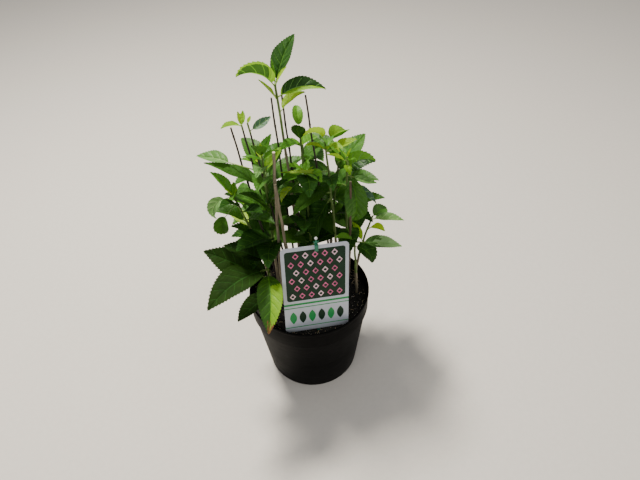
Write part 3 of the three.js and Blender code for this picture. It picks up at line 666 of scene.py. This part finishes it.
def tooth(reach, step):
    """How far the edge stands out and runs ahead at a share of its length, for teeth of a step."""
    first, last = TEETH_SPAN
    turn = ((reach - first) / step) % 1.0
    rise = np.where(turn < TOOTH_PEAK, turn / TOOTH_PEAK, (1 - turn) / (1 - TOOTH_PEAK))
    inside = (reach > first) & (reach < last)
    depth = TOOTH_DEPTH * np.clip(0.5 + 2 * reach, 0, 1) * np.clip(4 * (1 - reach), 0, 1)
    return np.where(inside, depth * (1.4 * rise - 0.4), 0.0), np.where(inside, 0.35 * step * rise, 0.0)


def blade_rows(blade, tooth_length):
    """Where the rows of a blade's mesh reach the edge: at every tooth and on both sides of every vein."""
    first, last = TEETH_SPAN
    teeth = int(np.clip((last - first) * blade.length / tooth_length, 5, 20))
    step = (last - first) / teeth
    starts = first + step * np.arange(teeth)
    ends = blade.veins()[0]
    half = 0.5 * min(VEIN_WIDTH / blade.length, 0.02)
    tips = (0.0, 0.02, 0.06, 0.985, 1.0)
    rows = np.concatenate((tips, starts, starts + TOOTH_PEAK * step, ends - half, ends + half))
    return np.unique(rows.round(5)), step, half


def grow_blade(pile, blade, tooth_length, tones, vein):
    """Adds one toothed and quilted blade. Tones gives each face its finish, and vein is the veins' own."""
    rows, step, half = blade_rows(blade, tooth_length)
    across = np.array([-c for c in COLUMNS[:0:-1]] + list(COLUMNS))
    edge = np.abs(across)[None, :] ** 5
    stand, ahead = tooth(rows, step)
    reach = np.repeat(rows[:, None], len(across), axis=1)
    wide = np.broadcast_to(across, reach.shape)
    spread = np.maximum(width_share(rows)[:, None] + stand[:, None] * edge, 0)
    faces = grid_faces(len(rows), len(across))
    middle, side = reach.ravel()[faces].mean(axis=1), wide.ravel()[faces].mean(axis=1)
    on_vein = np.abs(middle[:, None] - blade.veins()[0][None, :]).min(axis=1) < 0.9 * half
    on_vein &= np.abs(side) < 0.9
    on_vein |= (np.abs(side) < MIDRIB_SHARE) & (middle < 0.96)
    points = blade.at(reach, wide, spread, ahead[:, None] * edge)
    pile.add(points, faces[:, ::-1], np.where(on_vein, vein, tones(middle, side)))


def grow_stalk(pile, blade, finish=0):
    """Adds the stalk from the shoot to the blade, thickest at its foot."""
    end = blade.at(np.array([0.12]), np.zeros(1))[0]
    aim = blade.frame(np.zeros(1))[0][0]
    knee = blade.root + aim * np.linalg.norm(end - blade.root) * 0.6
    share = np.linspace(0, 1, 7)
    foot = max(0.6 * MM, 0.019 * blade.length)
    radii = np.interp(share, (0, 0.18, 1), (1.35 * foot, foot, 0.55 * foot))
    tube(pile, curve(blade.root, knee, end, share[:, None]), radii, 7, finish)


def held_places(blades):
    """The places that leaves hold, for finding which one is near."""
    across = (-0.8, -0.4, 0.0, 0.4, 0.8)
    places = np.concatenate([blade.spots(np.linspace(0.1, 1, 8), across) for blade in blades])
    tree = KDTree(len(places))
    for index, place in enumerate(places):
        tree.insert(Vector(place), index)
    tree.balance()
    return tree


def fits(blade, tree, clear):
    """Whether a blade keeps in the CAD box, under the crown's roof, and clear of the other leaves."""
    tip = blade.midrib(np.ones(1))[0]
    if ROOF_BACK * tip[1] + ROOF_UP * tip[2] >= ROOF_MOST:
        return False
    reached = blade.spots(np.linspace(0, 1, 6), (-1.0, 0.0, 1.0))
    if not ((reached > CAD_BOX[0]) & (reached < CAD_BOX[1])).all():
        return False
    spots = blade.spots(np.linspace(0.15, 1, 6), (-0.7, 0.0, 0.7))
    return all(tree.find(Vector(spot))[2] >= clear for spot in spots)


def grow_all(settings):
    """Every leaf: the seen ones where the photograph has them, then the others where they fit."""
    draws = Draws(SEED)
    blades = {name: [Blade(shoot, Leaf(*row), draws, settings.quilting) for row in shoot.seen]
              for name, shoot in SHOOTS.items()}
    for name, shoot in SHOOTS.items():
        for leaf in filled_leaves(shoot, draws) + crown_leaves(shoot, draws):
            tree = held_places([blade for grown in blades.values() for blade in grown])
            clear = CLEAR if leaf.blade > CROWN_BLADE else CLEAR_CROWN
            for turn, lift in SWINGS:
                swung = leaf._replace(heading=leaf.heading + turn, rise=leaf.rise + lift)
                blade = Blade(shoot, swung, draws, settings.quilting)
                if fits(blade, tree, clear):
                    blades[name].append(blade)
                    break
    return [(name, blade) for name, grown in blades.items() for blade in grown]


def node_places(shoot, start, end, node_step):
    """Shares along a limb where it has a pair of buds or leaves."""
    step = node_step / shoot_length(shoot)
    return np.arange(start + 0.45 * step, end - 0.2 * step, step)


def stem_rings(shoot, start, end, relief, seed, marks):
    """Path and ring radii of a limb with bark ridges, and a swelling at each pair of buds."""
    length = shoot_length(shoot)
    along = np.linspace(start, end, max(8, int(length * (end - start) / LIMB_STEP)))
    sway = np.sin(along * 23 + seed)[:, None] * np.array((0.35, 0.25, 0.0)) * MM
    ease = np.clip((along - start) * 8, 0, 1) * np.clip((end - along) * 8, 0, 1)
    girth = mix(*shoot.girth, along) * MM
    bulge = sum(np.exp(-(((along - mark) * length / SWELLING) ** 2)) for mark in marks)
    turns = np.arange(LIMB_SIDES) * 2 * math.pi / LIMB_SIDES
    climb = 0.05 * length / MM
    ridges = np.array([[noise.noise(Vector((2.3 * math.cos(t) + seed, 2.3 * math.sin(t), a * climb)))
                        for t in turns] for a in along])
    radii = girth[:, None] * (0.96 + relief * ridges) + (0.16 * girth * bulge)[:, None]
    return shoot_points(shoot, along) + sway * ease[:, None], radii


def grow_bud(pile, place, aim, size, finish):
    """Adds one small pointed bud."""
    share = np.linspace(0, 1, 6)
    radii = size * 0.3 * np.sin(math.pi * np.clip(share * 0.92 + 0.08, 0, 1)) ** 0.7 + 1e-6
    tube(pile, place + aim * (share * size)[:, None], radii, 7, finish)


def grow_limb(pile, buds, shoot, start, end, settings, seed, finish, end_finish=None):
    """Adds a limb with its bark, and a pair of buds at each of its nodes if there is a pile for them."""
    marks = node_places(shoot, start, end, settings.node_step)
    path, radii = stem_rings(shoot, start, end, settings.bark_relief, seed, marks)
    tube(pile, path, radii, radii.shape[1], finish, end_finish)
    for count, along in enumerate(marks if buds else ()):
        place = shoot_points(shoot, along)[0]
        girth = mix(*shoot.girth, along) * MM
        for side in (0, math.pi):
            turn = seed + count * math.pi / 2 + side
            out = np.array((math.cos(turn), math.sin(turn), 0.0))
            grow_bud(buds, place + out * girth * 0.75, unit(out * 0.55 + UP), 1.1 * girth, finish)


# Tools of the bench

def select(*pieces):
    """Selects these objects alone, or nothing, and makes the first one active."""
    bpy.ops.object.select_all(action="DESELECT")
    for piece in pieces:
        piece.select_set(True)
        bpy.context.view_layer.objects.active = pieces[0]


def start(name, primitive, **values):
    """A new primitive, added at its size and place."""
    select()
    primitive(**values)
    bpy.context.object.name = name
    return bpy.context.object


def apply_place():
    """Puts the place, turn and scale of what is selected into its mesh."""
    bpy.ops.object.transform_apply(location=True, rotation=True, scale=True)


def lathe(name, profile, segments):
    """A turned shape: a disc, extruded and resized ring by ring along a profile of (radius, height)."""
    radius, height = profile[0]
    piece = start(name, bpy.ops.mesh.primitive_circle_add, vertices=segments, radius=radius,
                  fill_type="NGON", location=(0, 0, height))
    apply_place()
    bpy.ops.object.mode_set(mode="EDIT")
    bpy.ops.mesh.select_mode(type="EDGE")
    bpy.ops.mesh.select_all(action="SELECT")
    for next_radius, next_height in profile[1:]:
        bpy.ops.mesh.extrude_edges_move(TRANSFORM_OT_translate={"value": (0, 0, next_height - height)})
        factor = next_radius / radius
        bpy.ops.transform.resize(value=(factor, factor, 1), center_override=(0, 0, 0))
        radius, height = next_radius, next_height
    bpy.ops.mesh.edge_face_add()
    bpy.ops.mesh.select_all(action="SELECT")
    bpy.ops.mesh.normals_make_consistent(inside=False)
    bpy.ops.object.mode_set(mode="OBJECT")
    return piece


def apply_modifier(piece, kind, **values):
    """Adds a modifier with its values and applies it."""
    select(piece)
    modifier = piece.modifiers.new(kind.title(), kind)
    for key, value in values.items():
        setattr(modifier, key, value)
    bpy.ops.object.modifier_apply(modifier=modifier.name)


def smooth(piece, angle):
    """Smooth shading with sharp edges kept."""
    select(piece)
    bpy.ops.object.shade_smooth_by_angle(angle=math.radians(angle))


def dress(piece, materials, slot, *nodes):
    """Gives a piece its materials and body, and hides the CAD nodes that it stands for. The slot is not used.
    """
    for material in materials:
        piece.data.materials.append(material)
    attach(piece, "root")
    if nodes:
        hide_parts(*nodes)


def join(name, pieces):
    """Joins objects into one, with its place in its mesh."""
    select(*pieces)
    bpy.ops.object.join()
    made = bpy.context.object
    made.name = name
    apply_place()
    return made


# Operators

class NurseryPot(bpy.types.Operator):
    """Makes the black nursery pot with its collar, lip and drain holes"""

    bl_idname = "hydrangea.pot"
    bl_label = "Nursery pot"

    def profile(self, sizes):
        """Half of the pot's section from the underside over the rim to the floor inside."""
        rim, height, base = POT_HIGH.x, POT_HIGH.z, sizes.base_radius
        ledge, lip = height - sizes.collar, height - sizes.lip
        band = rim - sizes.lip_step
        upper, bore = band - sizes.collar_step, band - sizes.wall
        edge, soft, fine = 1 * MM, 0.4 * MM, 0.3 * MM
        inside = base - sizes.wall
        return [
            (base - 2.4 * MM, 0.0), (base - 0.7 * MM, 0.6 * MM), (base, 2.2 * MM),
            (mix(base, upper, 0.5), ledge / 2), (upper, ledge - 0.6 * MM), (upper + soft, ledge),
            (band - soft, ledge + fine), (band, ledge + edge), (band, lip - 0.5 * MM), (rim - fine, lip),
            (rim, lip + edge), (rim, height - edge), (rim - fine, height - fine), (rim - edge, height),
            (bore + 0.6 * MM, height), (bore + 0.1 * MM, height - fine), (bore, height - edge),
            (bore, ledge + sizes.wall), (upper - sizes.wall, ledge - sizes.wall),
            (inside, sizes.floor + 2 * MM), (inside - 2 * MM, sizes.floor),
        ]

    def execute(self, context):
        sizes = context.scene.hydrangea_pot
        pot = lathe("pot_shell", self.profile(sizes), 128)
        cutters = []
        for i in range(sizes.holes):
            turn = 2 * math.pi * (i + 0.5) / sizes.holes
            place = (sizes.hole_ring * math.cos(turn), sizes.hole_ring * math.sin(turn), 0)
            cutters.append(start("drain", bpy.ops.mesh.primitive_cylinder_add, vertices=32,
                                 radius=sizes.hole_radius, depth=8 * sizes.floor, location=place))
        cutter = join("drain_cutter", cutters)
        apply_modifier(pot, "BOOLEAN", object=cutter, operation="DIFFERENCE", solver="EXACT")
        bpy.data.objects.remove(cutter)
        smooth(pot, 40)
        dress(pot, [pot_finish(sizes.colour)], "pot_plastic", "pot")
        return {"FINISHED"}


class PottingMix(bpy.types.Operator):
    """Makes the potting mix with its lumps, crumbs and pale flecks"""

    bl_idname = "hydrangea.mix"
    bl_label = "Potting mix"

    def surface(self, x, y, sizes):
        """Height of the lumpy surface over a place."""
        spot = Vector((x, y, 0)) / MM
        level, slope = 84 * MM, 8 * MM
        fall = sizes.dip * max(0.0, (math.hypot(x, y) - level) / slope)
        lump = noise.noise(spot * 0.06) + 0.6 * noise.noise(spot * 0.17) + 0.45 * noise.noise(spot * 0.45)
        return SOIL_TOP - fall + sizes.lumps * lump

    def crumb(self, pile, place, size, rng, finish):
        """Adds one crumb: a rough lump of eight faces."""
        axes = rng.normal(size=(3, 3))
        axes = np.linalg.qr(axes)[0] * (size * rng.uniform(0.6, 1.3, 3))[:, None]
        points = np.concatenate((axes, -axes)) + place
        faces = ((0, 1, 2), (1, 3, 2), (3, 4, 2), (4, 0, 2), (1, 0, 5), (3, 1, 5), (4, 3, 5), (0, 4, 5))
        pile.add(points, faces, finish)

    def fibre(self, pile, place, length, rng):
        """Adds one short pale fibre that lies on the mix."""
        turn = rng.uniform(0, 2 * math.pi)
        run = np.array((math.cos(turn), math.sin(turn), rng.uniform(-0.05, 0.3)))
        share = np.linspace(-0.5, 0.5, 5)[:, None]
        path = place + run * length * share
        path[:, 2] += length * 0.12 * (0.25 - share[:, 0] ** 2) * 4
        tube(pile, path, np.full(5, 0.05 * length + 0.12 * MM), 5)

    def lump(self, sizes, peat):
        """Makes the filling itself, with a lumpy top."""
        outer, ledge, rings = SOIL_HIGH.x, POT_HIGH.z - COLLAR, 44
        edge = SOIL_TOP - sizes.dip
        bore = outer - 0.3 * MM
        profile = [(72.8 * MM, SOIL_LOW.z), (88 * MM, ledge - 2.4 * MM)]
        profile += [(bore, ledge + 2.4 * MM), (bore, edge)]
        profile += [(outer * mix(1, 0.04, (i + 1) / rings), SOIL_TOP) for i in range(rings)]
        soil = lathe("potting_mix", profile, 144)
        for vertex in soil.data.vertices:
            if vertex.co.z > edge - 1e-5:
                vertex.co.z = self.surface(vertex.co.x, vertex.co.y, sizes)
        smooth(soil, 80)
        dress(soil, [peat], "potting_mix", "potting_soil")

    def execute(self, context):
        sizes = context.scene.hydrangea_mix
        peat = peat_finish("damp_peat", sizes.colour, 3.0)
        self.lump(sizes, peat)
        rng = np.random.default_rng(SEED)
        crumbs, flecks = Pile(), Pile()
        for i in range(sizes.crumbs + sizes.flecks):
            radius = (SOIL_HIGH.x - 3 * MM) * math.sqrt(rng.uniform(0, 1))
            turn = rng.uniform(0, 2 * math.pi)
            x, y = radius * math.cos(turn), radius * math.sin(turn)
            place = np.array((x, y, self.surface(x, y, sizes)))
            if i < sizes.crumbs:
                self.crumb(crumbs, place, rng.uniform(0.35, 1.5) ** 1.3 * MM, rng, int(rng.integers(0, 2)))
            elif i % 4 == 0:
                self.fibre(flecks, place, rng.uniform(2.5, 8) * MM, rng)
            else:
                self.crumb(flecks, place, rng.uniform(0.25, 1.0) * MM, rng, i % 2)
        chips = peat_finish("brown_bark_chips", shade(sizes.colour, 2.6), 2.0)
        crumbs.piece("soil_crumbs", [peat, chips], "potting_mix")
        chaff = [plain_finish("pale_fibre", sizes.fleck_colour, 0.8),
                 plain_finish("pale_grain", (0.5, 0.45, 0.38), 0.8)]
        flecks.piece("pale_flecks", chaff, "potting_mix")
        return {"FINISHED"}


def hang(piece, sizes):
    """Puts a piece where the label stands, turned and leant back, with its object left at the origin."""
    turn = Matrix.Rotation(sizes.yaw, 4, "Z") @ Matrix.Rotation(-sizes.tilt, 4, "X")
    turn = turn @ Matrix.Rotation(sizes.roll, 4, "Y")
    piece.data.transform(Matrix.Translation(sizes.place) @ turn @ piece.matrix_world)
    piece.matrix_world = Matrix.Identity(4)
    piece.data.update()


class PlantLabel(bpy.types.Operator):
    """Makes the printed label card with a plain pattern of pink diamonds on green and a row of leaves"""

    bl_idname = "hydrangea.label"
    bl_label = "Plant label"

    def flat(self, outline, lift, material):
        """A thin printed shape on the card's face, from its outline."""
        mesh = bpy.data.meshes.new("print")
        mesh.from_pydata([(x, -lift, z) for x, z in outline], [], [tuple(range(len(outline)))])
        mesh.materials.append(material)
        return new_object("print", mesh)

    def card(self, sizes, material):
        """The card itself: a plane with rounded corners and real thickness."""
        card = start("label_print", bpy.ops.mesh.primitive_plane_add, size=1,
                     location=(0, 0, sizes.height / 2), rotation=(math.pi / 2, 0, 0))
        card.scale = (sizes.width, sizes.height, 1)
        apply_place()
        bpy.ops.object.mode_set(mode="EDIT")
        bpy.ops.mesh.select_all(action="SELECT")
        bpy.ops.mesh.bevel(offset=sizes.corner, segments=10, affect="VERTICES")
        bpy.ops.object.mode_set(mode="OBJECT")
        apply_modifier(card, "SOLIDIFY", thickness=sizes.thick, offset=-1)
        low = min(vertex.co.y for vertex in card.data.vertices)
        for vertex in card.data.vertices:
            vertex.co.y -= low + sizes.thick
        apply_modifier(card, "BEVEL", width=0.2 * MM, segments=2)
        card.data.materials.append(material)
        return card

    def panel(self, left, low, right, high, corner, steps=8):
        """Outline of a rectangle with round corners."""
        centres = ((right - corner, low + corner, -90), (right - corner, high - corner, 0),
                   (left + corner, high - corner, 90), (left + corner, low + corner, 180))
        turns = [(x, z, math.radians(first + 90 * i / steps))
                 for x, z, first in centres for i in range(steps + 1)]
        return [(x + corner * math.cos(turn), z + corner * math.sin(turn)) for x, z, turn in turns]

    def ring(self, x, z, size, corners, squeeze=1.0):
        """Outline of a round or cornered motif about a place."""
        turns = [2 * math.pi * i / corners for i in range(corners)]
        return [(x + squeeze * size * math.cos(a), z + size * math.sin(a)) for a in turns]

    def sprig(self, x, z, size):
        """Outline of one upright pointed leaf."""
        share = [i / 10 for i in range(11)]
        right = [(x + 0.9 * size * s * (1 - s), z + size * s) for s in share]
        left = [(x - 0.9 * size * s * (1 - s), z + size * s) for s in share[-2:0:-1]]
        return right + left

    def shapes(self, sizes):
        """The printed shapes from the lowest up: outline, height over the card and ink."""
        half = sizes.width / 2
        field, motif, core = 0.05 * MM, 0.08 * MM, 0.11 * MM
        yield self.panel(5 * MM - half, 58 * MM, half - 5 * MM, sizes.height - 6 * MM, 4 * MM), field, "deep"
        for row in range(6):
            for column in range(6 - row % 2):
                x = (-34 + 13.6 * column + 6.8 * (row % 2)) * MM
                z = (66.5 + 13.8 * row) * MM
                yield self.ring(x, z, 5.6 * MM, 4, 0.8), motif, "blossom" if (row + column) % 3 else "eye"
                yield self.ring(x, z, 2.2 * MM, 16), core, "deep"
        for low, thick in ((50, 3.5), (44.5, 1.5), (8, 1.5)):
            low, high = low * MM, (low + thick) * MM
            yield [(-half, low), (half, low), (half, high), (-half, high)], field, "fresh"
        for column in range(6):
            x = (-35 + 14 * column) * MM
            yield self.sprig(x, 15 * MM, 23 * MM), field, "deep" if column % 2 else "fresh"

    def execute(self, context):
        sizes = context.scene.hydrangea_label
        tones = {"ground": (sizes.ground, 0.05), "deep": (sizes.deep_green, 0.2),
                 "fresh": (sizes.fresh_green, 0.1), "blossom": (sizes.blossom, 0.35),
                 "eye": ((0.78, 0.52, 0.58), 0.15)}
        inks = {name: plain_finish(f"label_{name}", colour, 0.42, vary=vary, depth=0.03, sheen=0.2)
                for name, (colour, vary) in tones.items()}
        card = self.card(sizes, inks["ground"])
        shapes = [self.flat(outline, sizes.thick + lift, inks[ink])
                  for outline, lift, ink in self.shapes(sizes)]
        made = join("label_print", [card] + shapes)
        hang(made, sizes)
        smooth(made, 30)
        dress(made, [], "label_card", "label_card")
        return {"FINISHED"}


class LabelHolder(bpy.types.Operator):
    """Makes the green holder that the label hangs in, with the pale bead on its top"""

    bl_idname = "hydrangea.holder"
    bl_label = "Label holder"

    def bar(self, size, place, turn=0.0):
        """One bar of the holder with softened edges."""
        bar = start("bar", bpy.ops.mesh.primitive_cube_add, size=1, location=place, rotation=(0, turn, 0))
        bar.scale = size
        apply_place()
        apply_modifier(bar, "BEVEL", width=0.35 * MM, segments=3)
        return bar

    def execute(self, context):
        sizes = context.scene.hydrangea_label
        gap, thick, wide, offset = 0.3 * MM, 1.8 * MM, 5 * MM, 2 * MM
        foot, drop, post, bead_radius = 5.2 * MM, 9 * MM, 6 * MM, 2.1 * MM
        low = sizes.height + gap
        top = low + thick
        front = -sizes.thick - gap
        hook = drop + gap + thick
        bars = [
            self.bar((wide, thick, top + foot), (offset, gap + thick / 2, (top - foot) / 2)),
            self.bar((wide, gap + 2 * thick - front, thick), (offset, (gap + front) / 2, low + thick / 2)),
            self.bar((wide, thick, hook), (offset, front - thick / 2, top - hook / 2)),
            self.bar((2.2 * MM, 2.2 * MM, post), (offset, 0, top + post / 2)),
        ]
        for turn in (-math.radians(42), math.radians(42)):
            reach = Vector((math.sin(turn), 0, math.cos(turn))) * 2.6 * MM
            bars.append(self.bar((1.4 * MM, 1.4 * MM, 5.2 * MM), Vector((offset, 0, top)) + reach, turn))
        holder = join("label_clip", bars)
        hang(holder, sizes)
        smooth(holder, 40)
        green = plain_finish("holder_green", (0.012, 0.16, 0.085), 0.35)
        dress(holder, [green], "label_holder", "label_holder")
        bead = start("label_clip_bead", bpy.ops.mesh.primitive_uv_sphere_add, segments=32, ring_count=16,
                     radius=bead_radius, location=(offset, 0, top + post + gap + bead_radius))
        hang(bead, sizes)
        smooth(bead, 60)
        white = plain_finish("bead_white", (0.75, 0.76, 0.72), 0.35)
        dress(bead, [white], "label_holder_head", "label_holder_head")
        return {"FINISHED"}


class Stems(bpy.types.Operator):
    """Makes the woody stems, the dark twigs, the pruned stems and the green shoots with their buds"""

    bl_idname = "hydrangea.stems"
    bl_label = "Stems and twigs"

    def execute(self, context):
        sizes = context.scene.hydrangea_shrub
        green = bark_finish("green_shoot", sizes.shoot_green, 1.5)
        woods = (("old_bark", sizes.old_bark, 1.7), ("young_bark", sizes.young_bark, 1.5),
                 ("cut_wood", (0.52, 0.42, 0.28), 1.2), ("red_brown_bark", (0.08, 0.05, 0.028), 1.8))
        barks = [bark_finish(*wood) for wood in woods]
        old, young, cut, red = range(4)
        woody, dark, pruned, leafy, buds = Pile(), Pile(), Pile(), Pile(), Pile()
        for seed, (name, shoot) in enumerate(SHOOTS.items()):
            bark = young if "twig" in name else old
            grow_limb(woody, buds, shoot, 0.0, shoot.bare, sizes, seed, bark)
            grow_limb(leafy, None, shoot, shoot.bare, 1.0, sizes, seed, 0)
        for seed, shoot in enumerate(DARK_TWIGS.values()):
            grow_limb(dark, buds, shoot, 0.0, 1.0, sizes, seed + 40, young)
        for seed, (name, shoot) in enumerate(PRUNED_STEMS.items()):
            bark = red if "right" in name else old
            grow_limb(pruned, buds, shoot, 0.0, 1.0, sizes, seed + 60, bark, cut)
        woody.piece("woody_stems", barks, "bark_old", *[f"{name}_stem" for name in SHOOTS])
        dark.piece("dark_twigs", barks, "bark_young", *DARK_TWIGS)
        pruned.piece("pruned_stems", barks, "bark_old", *PRUNED_STEMS)
        leafy.piece("green_shoots", [green], "foliage", *[f"{name}_foliage" for name in SHOOTS])
        buds.piece("buds", barks, "bark_old")
        return {"FINISHED"}


class Foliage(bpy.types.Operator):
    """Makes every leaf with its teeth, veins and stalk, joined by kind"""

    bl_idname = "hydrangea.foliage"
    bl_label = "Leaves"

    def tones(self, kind, pick):
        """Which of its kind's colours each face of a leaf takes; the two-tone kinds paint part of a blade lit
        and part in shade.
        """
        return {
            # a real brown dead tip, and a painted sunlit lime half on one side of a darker blade
            "scorched": lambda reach, side: np.where(reach + 0.05 * np.sin(9 * side) > 0.9, 2,
                                                     ((side > 0.02) & (reach + 0.2 * side > 0.42)) * 1),
            # a pale painted highlight on the outer part of the blade, darker green nearer the stalk
            "tipped": lambda reach, side: (reach + 0.08 * np.sin(9 * side) > 0.45) * 1,
            # one half painted lit lime, the other painted in dark shade
            "split": lambda reach, side: ((side > 0.02) & (reach > 0.12)) * 1,
            # one half painted lit, the other painted in dark shade
            "faced": lambda reach, side: (side > -0.02) * 1,
            # a patch of painted shade on one half of a lit lime blade
            "patched": lambda reach, side: ((side > 0.02) & (side < 0.8)
                                            & (reach > 0.3) & (reach < 0.92)) * 1,
        }.get(kind, lambda reach, side: pick % len(LEAF_KINDS[kind][0]))

    def execute(self, context):
        sizes = context.scene.hydrangea_shrub
        piles = {kind: Pile() for kind in LEAF_KINDS}
        stalks = Pile()
        for pick, (name, blade) in enumerate(grow_all(sizes)):
            kind = blade.leaf.kind
            piles[kind].nodes.add(f"{name}_foliage")
            grow_blade(piles[kind], blade, sizes.tooth, self.tones(kind, pick), len(LEAF_KINDS[kind][0]))
            grow_stalk(stalks, blade, 0 if kind in PALE_STALKS else 1)
        for kind, (faces, vein, glow) in LEAF_KINDS.items():
            roughness, sheen = (0.66, 0.08) if kind in MATT_KINDS else (0.5, 0.28)
            finishes = [leaf_finish(f"{kind}_leaf_{i}", low, high, roughness, glow, sheen)
                        for i, (low, high) in enumerate((*faces, vein))]
            piles[kind].piece(f"leaves_{kind}", finishes, "foliage", *sorted(piles[kind].nodes))
        finishes = [leaf_finish("pale_stalk", (0.22, 0.36, 0.06), (0.34, 0.46, 0.1), glow=0.15),
                    leaf_finish("green_stalk", (0.09, 0.17, 0.03), (0.16, 0.25, 0.05), glow=0.1)]
        stalks.piece("leaf_stalks", finishes, "foliage")
        return {"FINISHED"}


class Stage(bpy.types.Operator):
    """Makes the pale floor, the soft lights and the camera at the photograph's angle"""

    bl_idname = "hydrangea.stage"
    bl_label = "Floor, lights and camera"

    def lamp(self, name, place, size, power, colour):
        """One soft area light that aims at the middle of the plant."""
        data = bpy.data.lights.new(name, "AREA")
        data.shape, data.size, data.energy, data.color = "SQUARE", size, power, colour
        lamp = new_object(name, data)
        lamp.location = place
        lamp.rotation_euler = (Vector(LAMP_AIM) - Vector(place)).to_track_quat("-Z", "Y").to_euler()

    def execute(self, context):
        floor = start("floor", bpy.ops.mesh.primitive_plane_add, size=12, location=(0, 0, -FLOOR_DROP))
        floor.data.materials.append(plain_finish("pale_floor", (0.62, 0.58, 0.52), 0.85, 300, vary=0.02))
        self.lamp("key_light", (-0.5, 0.62, 1.95), 0.35, 84, (1.0, 0.95, 0.86))
        self.lamp("front_fill", (-0.9, -1.6, 1.4), 1.6, 13, (1.0, 0.99, 0.97))
        self.lamp("side_fill", (1.6, -0.4, 0.9), 1.2, 6, (1.0, 0.98, 0.95))
        world = bpy.data.worlds.new("studio")
        world.use_nodes = True
        background = world.node_tree.nodes["Background"]
        background.inputs["Color"].default_value = (0.96, 0.97, 1.0, 1)
        background.inputs["Strength"].default_value = 0.42
        context.scene.world = world
        data = bpy.data.cameras.new("camera")
        data.sensor_width, data.lens = SENSOR, LENS
        camera = new_object("camera", data)
        pitch = Matrix.Rotation(math.radians(CAMERA_PITCH), 4, "X")
        roll = Matrix.Rotation(math.radians(CAMERA_ROLL), 4, "Z")
        camera.matrix_world = Matrix.Translation(CAMERA_PLACE) @ (pitch @ roll)
        context.scene.camera = camera
        return {"FINISHED"}


class HydrangeaPanel(bpy.types.Panel):
    """Lists the pieces of the potted hydrangea"""

    bl_idname = "VIEW3D_PT_hydrangea"
    bl_label = "Potted hydrangea"
    bl_space_type = "VIEW_3D"
    bl_region_type = "UI"
    bl_category = "Hydrangea"

    def draw(self, context):
        for operator in OPERATORS:
            self.layout.operator(operator.bl_idname)


GROUPS = {
    "hydrangea_pot": PotSizes,
    "hydrangea_mix": MixSizes,
    "hydrangea_label": LabelSizes,
    "hydrangea_shrub": ShrubSizes,
}
OPERATORS = (NurseryPot, PottingMix, PlantLabel, LabelHolder, Stems, Foliage, Stage)


def register():
    """Registers the settings, operators and panel."""
    for made in (*GROUPS.values(), *OPERATORS, HydrangeaPanel):
        bpy.utils.register_class(made)
    for name, group in GROUPS.items():
        setattr(bpy.types.Scene, name, PointerProperty(type=group))


def unregister():
    """Removes what register added."""
    for name in GROUPS:
        delattr(bpy.types.Scene, name)
    for made in (HydrangeaPanel, *reversed(OPERATORS), *GROUPS.values()):
        bpy.utils.unregister_class(made)


def main():
    """Builds every piece."""
    register()
    bpy.ops.hydrangea.pot()
    bpy.ops.hydrangea.mix()
    bpy.ops.hydrangea.label()
    bpy.ops.hydrangea.holder()
    bpy.ops.hydrangea.stems()
    bpy.ops.hydrangea.foliage()
    bpy.ops.hydrangea.stage()
    bpy.context.view_layer.update()


if __name__ == "__main__":
    main()
